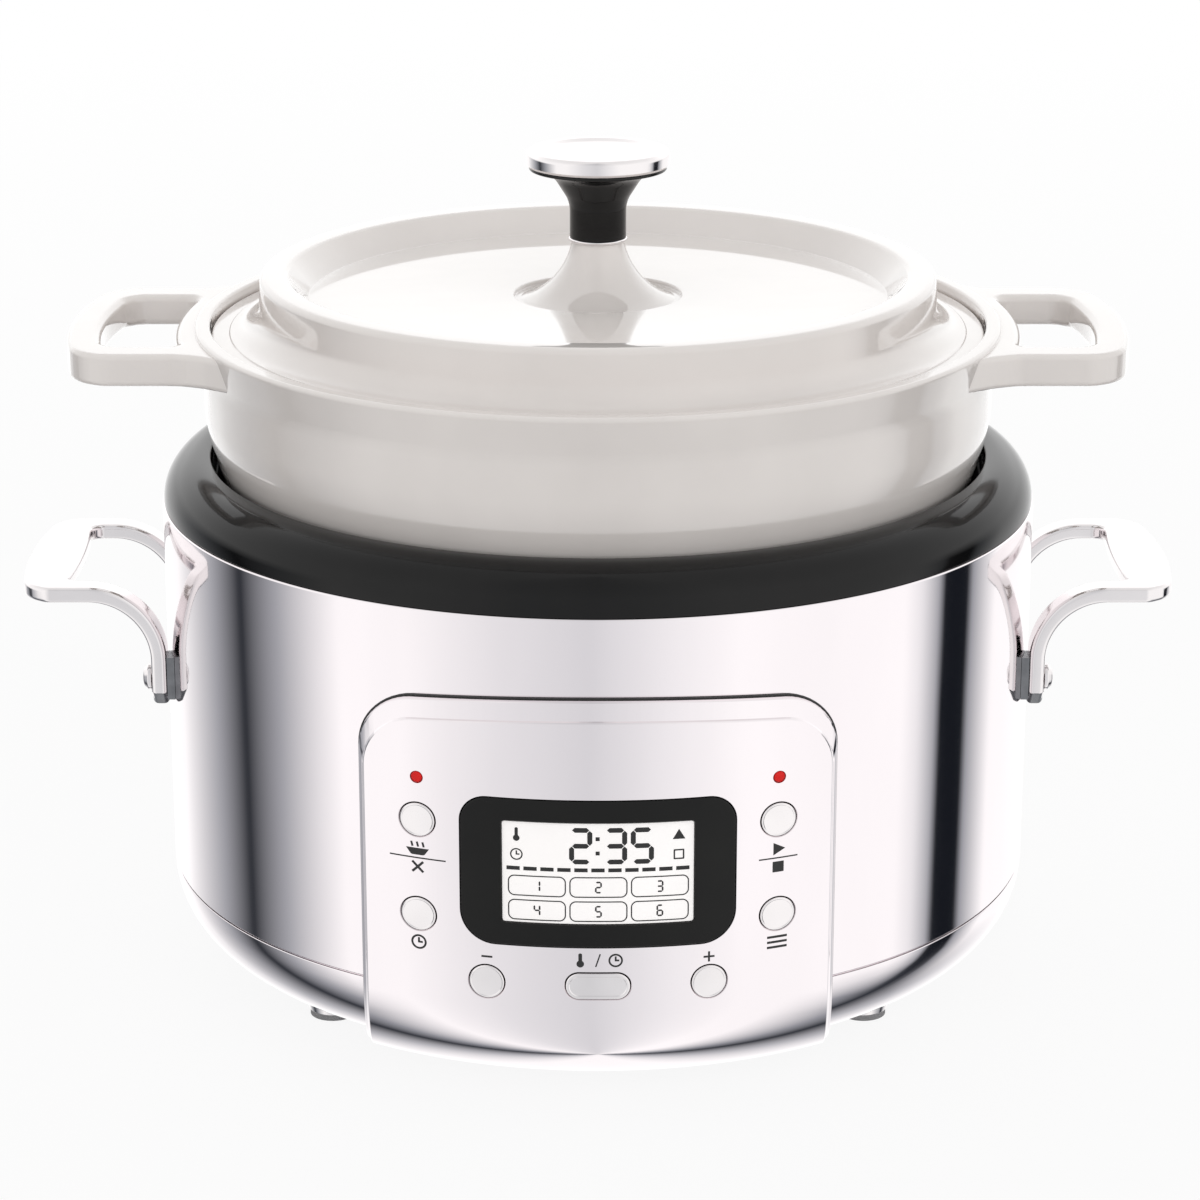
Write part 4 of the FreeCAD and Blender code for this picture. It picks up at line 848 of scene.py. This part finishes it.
def makeSigns(line, thin, thick, side, upper, leftRule, rightRule, below, cross, start, startUp, stop, lower,
              clock, listWide, listStep, pairX, pairUp, pairHalf, middleX, middle, bulb, tall, slash,
              smallClock, smallLine, sliceReach):
    signs = bmesh.new()
    inkBar(signs, -side, upper, leftRule, thin)  # a warm bowl, over a cross to end it
    inkBowl(signs, -side, upper, line)
    inkCross(signs, -side, upper - below, cross, thick, 45)
    inkBar(signs, side, upper, rightRule, thin)  # a start sign, over a stop sign
    inkShape(signs, side, upper + startUp, start)
    inkShape(signs, side, upper - below, roundBox(*stop))
    inkClock(signs, -side, lower, clock, line)
    for k in (-1, 0, 1):  # a list of three lines
        inkBar(signs, side, lower + k * listStep, listWide, thick)
    inkBar(signs, -pairX, pairUp, pairHalf * 2, line)
    inkCross(signs, pairX, pairUp, pairHalf, line)
    inkThermometer(signs, -middleX, middle, bulb, tall)
    inkBar(signs, 0, middle, thin, *slash)
    inkClock(signs, middleX, middle, smallClock, smallLine)
    moveShape(signs, z=inkGap)
    bendToPanel(signs, sliceReach)
    makePiece("panel_signs", signs, "printedInk", weigh=False)


figureSet = {"time": ((-5.4, "2"), (5.5, "3"), (13.9, "5")), "middle": 55, "timeSize": (7.3, 12.2, 1.6),
             "colonX": -0.1, "colonUp": 2.4, "dot": 1.3, "dashUp": 46.9, "dashes": 11, "dashStep": 5.33,
             "dash": (4.2, 1.3), "columns": (-19.2, 0.15, 19.5), "rows": (41.1, 32.9),
             "box": (18.3, 7, 0.4, 2.1), "boxFigure": (2.2, 4, 0.55), "signX": -25.6, "endX": 25.4,
             "signUp": 58.3, "signLow": 51.6, "thermometer": (1.05, 4.6), "clock": (2, 0.45),
             "warming": ((-2, -1.6), (2, -1.6), (0, 1.8)), "done": (3.4, 3.4, 0.5, 0.3)}


def makeFigures(time, middle, timeSize, colonX, colonUp, dot, dashUp, dashes, dashStep, dash, columns, rows,
                box, boxFigure, signX, endX, signUp, signLow, thermometer, clock, warming, done):
    figures = bmesh.new()
    for x, figure in time:
        inkFigure(figures, figure, x, middle, *timeSize)
    for k in (-1, 1):
        inkBar(figures, colonX, middle + k * colonUp, dot, dot)
    for k in range(dashes):
        inkBar(figures, (k - (dashes - 1) / 2) * dashStep, dashUp, *dash)
    places = [(x, up) for up in rows for x in columns]
    for number, (x, up) in enumerate(places, 1):
        inkFrame(figures, x, up, *box)
        inkFigure(figures, str(number), x, up, *boxFigure)
    inkThermometer(figures, signX, signUp, *thermometer)
    inkClock(figures, signX, signLow, *clock)
    inkShape(figures, endX, signUp, warming)
    inkFrame(figures, endX, signLow, *done)
    moveShape(figures, z=inkGap - lensSet["sunk"])
    bendToPanel(figures, lensSet["sliceReach"])
    makePiece("display_figures", figures, "printedInk", weigh=False)


makeSigns(**signSet)
makeFigures(**figureSet)
print("marks made")


# Side handles: a flat strip with an opening, bent up and out

handleSet = {"footIn": 146.84, "footLow": 103, "bendTop": 146, "bend": 26, "thick": 5.4, "outer": 198,
             "padIn": 181, "wide": 42.5, "gap": 32.5, "corner": 10, "holeCorner": 5, "rim": 1.7,
             "footRound": 3, "cut": 5.5, "cutRound": 0.8, "follow": 396, "bulge": 1.8, "swellFrom": 6,
             "swellRun": 12, "bendStep": 1.2, "sliceReach": 42, "sliceStep": 3}


def bentStrip(side, footIn, footLow, bendTop, bend, thick, outer, padIn, wide, gap, corner, holeCorner, rim,
              footRound, cut, cutRound, follow, bulge, swellFrom, swellRun, bendStep, sliceReach, sliceStep):
    # Drawn flat along its run: up the foot, round the bend and out along the grip.
    footRun = bendTop - bend - footLow
    padRun, padStart = footRun + bend * math.pi / 2, footIn + bend
    outerRun, padInRun = padRun + outer - padStart, padRun + padIn - padStart
    strip = drawOutline([(0, cut - wide, cutRound), (cut, -wide, cutRound), (outerRun, -wide, corner),
                         (outerRun, wide, corner), (cut, wide, cutRound), (0, wide - cut, cutRound),
                         (0, gap, footRound), (padInRun, gap, holeCorner), (padInRun, -gap, holeCorner),
                         (0, -gap, footRound)])
    raiseFace(strip, fillOutline(strip), thick)
    rims = [e for e in strip.edges if abs(e.verts[0].co.z - e.verts[1].co.z) < level]
    bmesh.ops.bevel(strip, geom=rims, offset=rim, affect="EDGES", segments=5, profile=0.5, material=-1)
    slicePlanes(strip, 0, footRun, padRun, bendStep)
    slicePlanes(strip, 1, -sliceReach, sliceReach, sliceStep)
    for v in strip.verts:
        run, y, up = v.co
        depth = thick - up
        if run > padInRun - swellFrom:  # the grip's outer edge follows the body, and its inner edge swells
            share = min(max((run - padInRun) / swellRun, 0), 1)
            run -= y ** 2 / follow * share
            run -= bulge * max(1 - (y / gap) ** 2, 0) * (1 - share)
        if run < footRun:
            x, z = footIn + depth, footLow + run
        elif run < padRun:
            turn, reach = (run - footRun) / bend, bend - depth
            x, z = padStart - reach * math.cos(turn), bendTop - bend + reach * math.sin(turn)
        else:
            x, z = padStart + run - padRun, bendTop - depth
        v.co = (side * x, side * y, z)
    return strip


shadedTipTop = (handleSet["footLow"] + handleSet["cut"] + 0.1) * mm  # just above the cut ends of the feet; faces below it get painted shade
for name, side in (("right", 1), ("left", -1)):
    node = "side_handle_" + name
    handle = makePiece(node + "_steel", bentStrip(side, **handleSet), "satinSteel", [node])
    # The tips of the feet get the darker steel as painted shade, for the dark reflection they show.
    handle.data.materials.append(finish["turnedSteelAndTipShade"])
    for face in handle.data.polygons:
        if all(handle.data.vertices[k].co.z < shadedTipTop for k in face.vertices):
            face.material_index = 1  # painted shade: the darker steel stands in for the dark reflection on the tips

screwSet = {"y": 37.5, "z": 113, "face": 152.24, "head": 4.6, "side": 1.2, "tall": 3.2, "crown": 3,
            "crownDrop": 0.2, "shank": 2.5, "long": 12, "rounds": (0, 0, 0, 0.3, 0.5, 2), "steps": 64}


def makeScrews(y, z, face, head, side, tall, crown, crownDrop, shank, long, rounds, steps):
    screws = bmesh.new()
    for right, front in quarters:
        screw = turned([(0, -long), (shank, -long), (shank, 0), (head, 0), (head, side),
                        (crown, tall - crownDrop), (0, tall)], rounds, closed=False, steps=steps)
        outward = Matrix.Rotation(right * math.pi / 2, 4, "Y")
        addShape(screws, screw, Matrix.Translation((right * face, front * y, z)) @ outward)
    makePiece("handle_screws_domed", screws, "satinSteel", ["handle_screws"])


makeScrews(**screwSet)
print("handles made")


# Power inlet at the back

inletSet = {"half": 15, "halfTall": 12, "corner": 2.5, "middle": 62, "face": 152, "deep": 26, "edge": 0.8,
            "wall": 3, "recess": 18, "rim": 0.4, "recessCorner": 2.4}
pinSet = {"radius": 1.6, "tipRound": 1.2, "steps": 32}


def makeInlet(half, halfTall, corner, middle, face, deep, edge, wall, recess, rim, recessCorner):
    inlet = raisedPlate(roundBox(half, -halfTall, halfTall, corner), deep, edge, -deep)
    openAt(inlet, 0)
    mouth = roundBox(half, -halfTall, halfTall, recessCorner, grow=rim - wall)
    addShape(inlet, sunkHole(mouth, rim, recess - rim, floor=True))
    fillBetween(inlet, 0)
    inlet.transform(towardsBack(0, face, middle))
    makePiece("power_inlet_black", inlet, "grainedNylon", ["power_inlet"])


def makePins(radius, tipRound, steps):
    low, high = nodeBox("inlet_pins")
    long = high.y - low.y
    pins = bmesh.new()
    for side in (1, -1):
        pin = turned([(0, 0), (radius, 0), (radius, long), (0, long)], (0, 0, tipRound), closed=False,
                     steps=steps)
        addShape(pins, pin, towardsBack(side * (high.x - radius), low.y, (low.z + high.z) / 2))
    makePiece("inlet_pins_brass", pins, "brass", ["inlet_pins"])


makeInlet(**inletSet)
makePins(**pinSet)
print("inlet made")


# CAD pieces that stay as they are

keptFinishes = {
    "grainedNylon": ("bottom_cover", "button_guide"),
    "zincSteel": ("cover_screws", "base_posts", "knob_screw", "plate_posts", "sensor_housing",
                  "sensor_spring", "board_posts", "board_standoffs"),
    "turnedSteelAndTipShade": ("handle_spacers",),
    "greyRubber": ("foot_pads",),
    "glassWool": ("insulation_band",),
    "heatedSteel": ("heating_element",),
    "sheetAluminium": ("heat_shield",),
    "glassEpoxy": ("control_board", "power_board"),
    "caseNylon": ("thermal_cutout", "lcd_module", "tact_switches", "power_relay", "capacitor"),
    "varnishedCopper": ("transformer",),
}
for material, nodes in keptFinishes.items():
    for node in nodes:
        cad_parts[node].data.materials.clear()
        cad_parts[node].data.materials.append(finish[material])
print("kept nodes finished")


# Studio: pale floor, soft top light, and a bright room with dark cards that the steel shows

floorSet = {"half": 6, "shown": "#fbfbfb", "bounce": "#d8d7d6", "white": 0.87, "near": 0.4, "far": 2}
ground = bmesh.new()
bmesh.ops.create_grid(ground, x_segments=1, y_segments=1, size=floorSet["half"])
floorMesh = bpy.data.meshes.new("floor")
ground.to_mesh(floorMesh)
ground.free()
floor = bpy.data.objects.new("floor", floorMesh)
scene.collection.objects.link(floor)
floor.visible_glossy = False
paper = bpy.data.materials.new("backdropPaper")  # seamless paper, white to the camera, greyer as a bounce
paper.use_nodes = True
tree = paper.node_tree
tree.nodes.remove(tree.nodes["Principled BSDF"])
path = addNode(tree, "ShaderNodeLightPath")
lit = addNode(tree, "ShaderNodeBsdfDiffuse", {"Color": hexColour(floorSet["shown"])})
white = addNode(tree, "ShaderNodeEmission", {"Color": (1, 1, 1, 1), "Strength": 1})
spot = addNode(tree, "ShaderNodeTexCoord")
away = addNode(tree, "ShaderNodeVectorMath", {"operation": "LENGTH"}, {"Vector": spot.outputs["Object"]})
lift = addNode(tree, "ShaderNodeMapRange", {"From Min": floorSet["near"], "From Max": floorSet["far"],
                                            "To Min": floorSet["white"], "To Max": 1},
               {"Value": away.outputs["Value"]})  # keeps the shadow, and fades to plain white further out
shown = addNode(tree, "ShaderNodeMixShader", links={"Fac": lift.outputs["Result"]})
tree.links.new(lit.outputs["BSDF"], shown.inputs[1])
tree.links.new(white.outputs["Emission"], shown.inputs[2])
bounce = addNode(tree, "ShaderNodeBsdfDiffuse", {"Color": hexColour(floorSet["bounce"])})
both = addNode(tree, "ShaderNodeMixShader", links={"Fac": path.outputs["Is Camera Ray"]})
tree.links.new(bounce.outputs["BSDF"], both.inputs[1])
tree.links.new(shown.outputs["Shader"], both.inputs[2])
tree.links.new(both.outputs["Shader"], tree.nodes["Material Output"].inputs["Surface"])
floorMesh.materials.append(paper)

roomSet = {
    "bright": (1.15, 1.15, 1.15, 1),
    # What the steel shows: degrees round from the front, and the share of the light left there.
    "round": {
        "front": ((-50, 1), (-25, 0.79), (-2, 0.68), (20, 0.87), (36, 1)),  # grey card behind the camera
        "flags": ((-145, 1), (-120, 0.38), (-106, 0.02), (-91, 0.38), (-70, 1),  # soft flag on the left
                  (86, 1), (92, 0.84), (99.4, 0.35), (100.5, 0.01), (111.5, 0.01), (114, 0.34),
                  (127, 1)),  # and a hard one on the right
        "shade": ((-170, 1), (-140, 0.5), (-105, 0.03), (-85, 0.3), (-50, 1),  # both spread near the floor
                  (50, 1), (85, 0.3), (105, 0.03), (140, 0.5), (170, 1)),
        "back": ((-180, 1), (-140, 1), (-110, 0), (110, 0), (140, 1), (180, 1)),  # a brighter screen behind
    },
    # The same by height, from straight down at -1 to straight up at 1.
    "height": {
        "backHeight": ((-1, 0), (0.04, 0), (0.14, 1), (0.45, 1), (0.7, 0)),
        "zenith": ((-1, 1), (0.45, 1), (1, 0.8)),
        "dome": ((-1, 0.62), (0, 0.88), (1, 0.57)),  # what lights the dull surfaces
    },
    "flagsTop": (-0.05, 0.15),  # the flags fade out across the horizon
    "shadeTop": (-0.75, -0.45),
    "backBright": 0.2,
    "tint": {"round": (1.04, 1, 0.93), "height": (1, 1, 1)},  # powers for red, green and blue: cool greys
}
world = bpy.data.worlds.new("studio")
scene.world = world
world.use_nodes = True
tree = world.node_tree
tree.nodes.clear()
way = addNode(tree, "ShaderNodeTexCoord")
axes = addNode(tree, "ShaderNodeSeparateXYZ", links={"Vector": way.outputs["Generated"]})
ahead = addNode(tree, "ShaderNodeMath", {"operation": "MULTIPLY"})
ahead.inputs[1].default_value = -1
tree.links.new(axes.outputs["Y"], ahead.inputs[0])
turn = addNode(tree, "ShaderNodeMath", {"operation": "ARCTAN2"})
tree.links.new(axes.outputs["X"], turn.inputs[0])
tree.links.new(ahead.outputs["Value"], turn.inputs[1])
degrees = addNode(tree, "ShaderNodeMath", {"operation": "DEGREES"})
tree.links.new(turn.outputs["Value"], degrees.inputs[0])

curves = {}  # brightness over a range, as a ramp with one stop for each pair
for group, source, reach in (("round", degrees.outputs["Value"], 180), ("height", axes.outputs["Z"], 1)):
    share = addNode(tree, "ShaderNodeMapRange", {"From Min": -reach, "From Max": reach}, {"Value": source})
    for name, stops in roomSet[group].items():
        curve = addNode(tree, "ShaderNodeValToRGB", links={"Fac": share.outputs["Result"]})
        points = curve.color_ramp.elements
        while len(points) < len(stops):
            points.new(1)
        for point, (place, bright) in zip(points, stops):
            point.position = (place / reach + 1) / 2
            point.color = [bright ** power for power in roomSet["tint"][group]] + [1]
        curves[name] = curve.outputs["Color"]
shares = {}  # how far below each height a ray points
for name in ("flagsTop", "shadeTop"):
    low, high = roomSet[name]
    below = addNode(tree, "ShaderNodeMapRange", {"From Min": high, "From Max": low},
                    {"Value": axes.outputs["Z"]})
    shares[name] = below.outputs["Result"]

dark = addNode(tree, "ShaderNodeMixRGB",
               links={"Fac": shares["shadeTop"], "Color1": curves["flags"], "Color2": curves["shade"]})
card = addNode(tree, "ShaderNodeMixRGB", {"blend_type": "MULTIPLY", "Fac": 1, "Color1": roomSet["bright"]},
               {"Color2": curves["front"]})
flagged = addNode(tree, "ShaderNodeMixRGB", {"blend_type": "MULTIPLY"},
                  {"Fac": shares["flagsTop"], "Color1": card.outputs["Color"],
                   "Color2": dark.outputs["Color"]})
walls = addNode(tree, "ShaderNodeMixRGB", {"blend_type": "MULTIPLY", "Fac": 1},
                {"Color1": flagged.outputs["Color"], "Color2": curves["zenith"]})
screen = addNode(tree, "ShaderNodeMixRGB", {"blend_type": "MULTIPLY", "Fac": 1},
                 {"Color1": curves["back"], "Color2": curves["backHeight"]})
room = addNode(tree, "ShaderNodeMixRGB", {"blend_type": "ADD", "Fac": roomSet["backBright"]},
               {"Color1": walls.outputs["Color"], "Color2": screen.outputs["Color"]})
path = addNode(tree, "ShaderNodeLightPath")
cast = addNode(tree, "ShaderNodeMixRGB",
               links={"Fac": path.outputs["Is Glossy Ray"], "Color1": curves["dome"],
                      "Color2": room.outputs["Color"]})
sky = addNode(tree, "ShaderNodeMixRGB", {"Color2": (1, 1, 1, 1)},
              {"Fac": path.outputs["Is Camera Ray"], "Color1": cast.outputs["Color"]})
glow = addNode(tree, "ShaderNodeBackground", {"Strength": 1}, {"Color": sky.outputs["Color"]})
addNode(tree, "ShaderNodeOutputWorld", links={"Surface": glow.outputs["Background"]})

sunSpread = ("angle", math.radians(70))  # wide, like the lamp's size, so that shadows stay soft
lampSet = {"top": {"kind": "AREA", "place": (-0.1, 0.2, 1.7), "power": 2.2, "soft": ("size", 1.4)},
           "fill": {"kind": "SUN", "place": (0.5, -1.5, 0.6), "power": 0.62, "soft": sunSpread},
           "rear": {"kind": "SUN", "place": (-0.5, 1.5, 0.6), "power": 0.33, "soft": sunSpread}}
lampAim = Vector((0, 0, 0.15))
for name, lamp in lampSet.items():
    data = bpy.data.lights.new(name, lamp["kind"])
    setattr(data, *lamp["soft"])
    data.energy = lamp["power"]
    light = bpy.data.objects.new(name, data)
    light.location = lamp["place"]
    light.rotation_euler = (lampAim - light.location).to_track_quat("-Z", "Y").to_euler()
    light.visible_glossy = False
    light.visible_camera = False
    scene.collection.objects.link(light)
print("studio made")
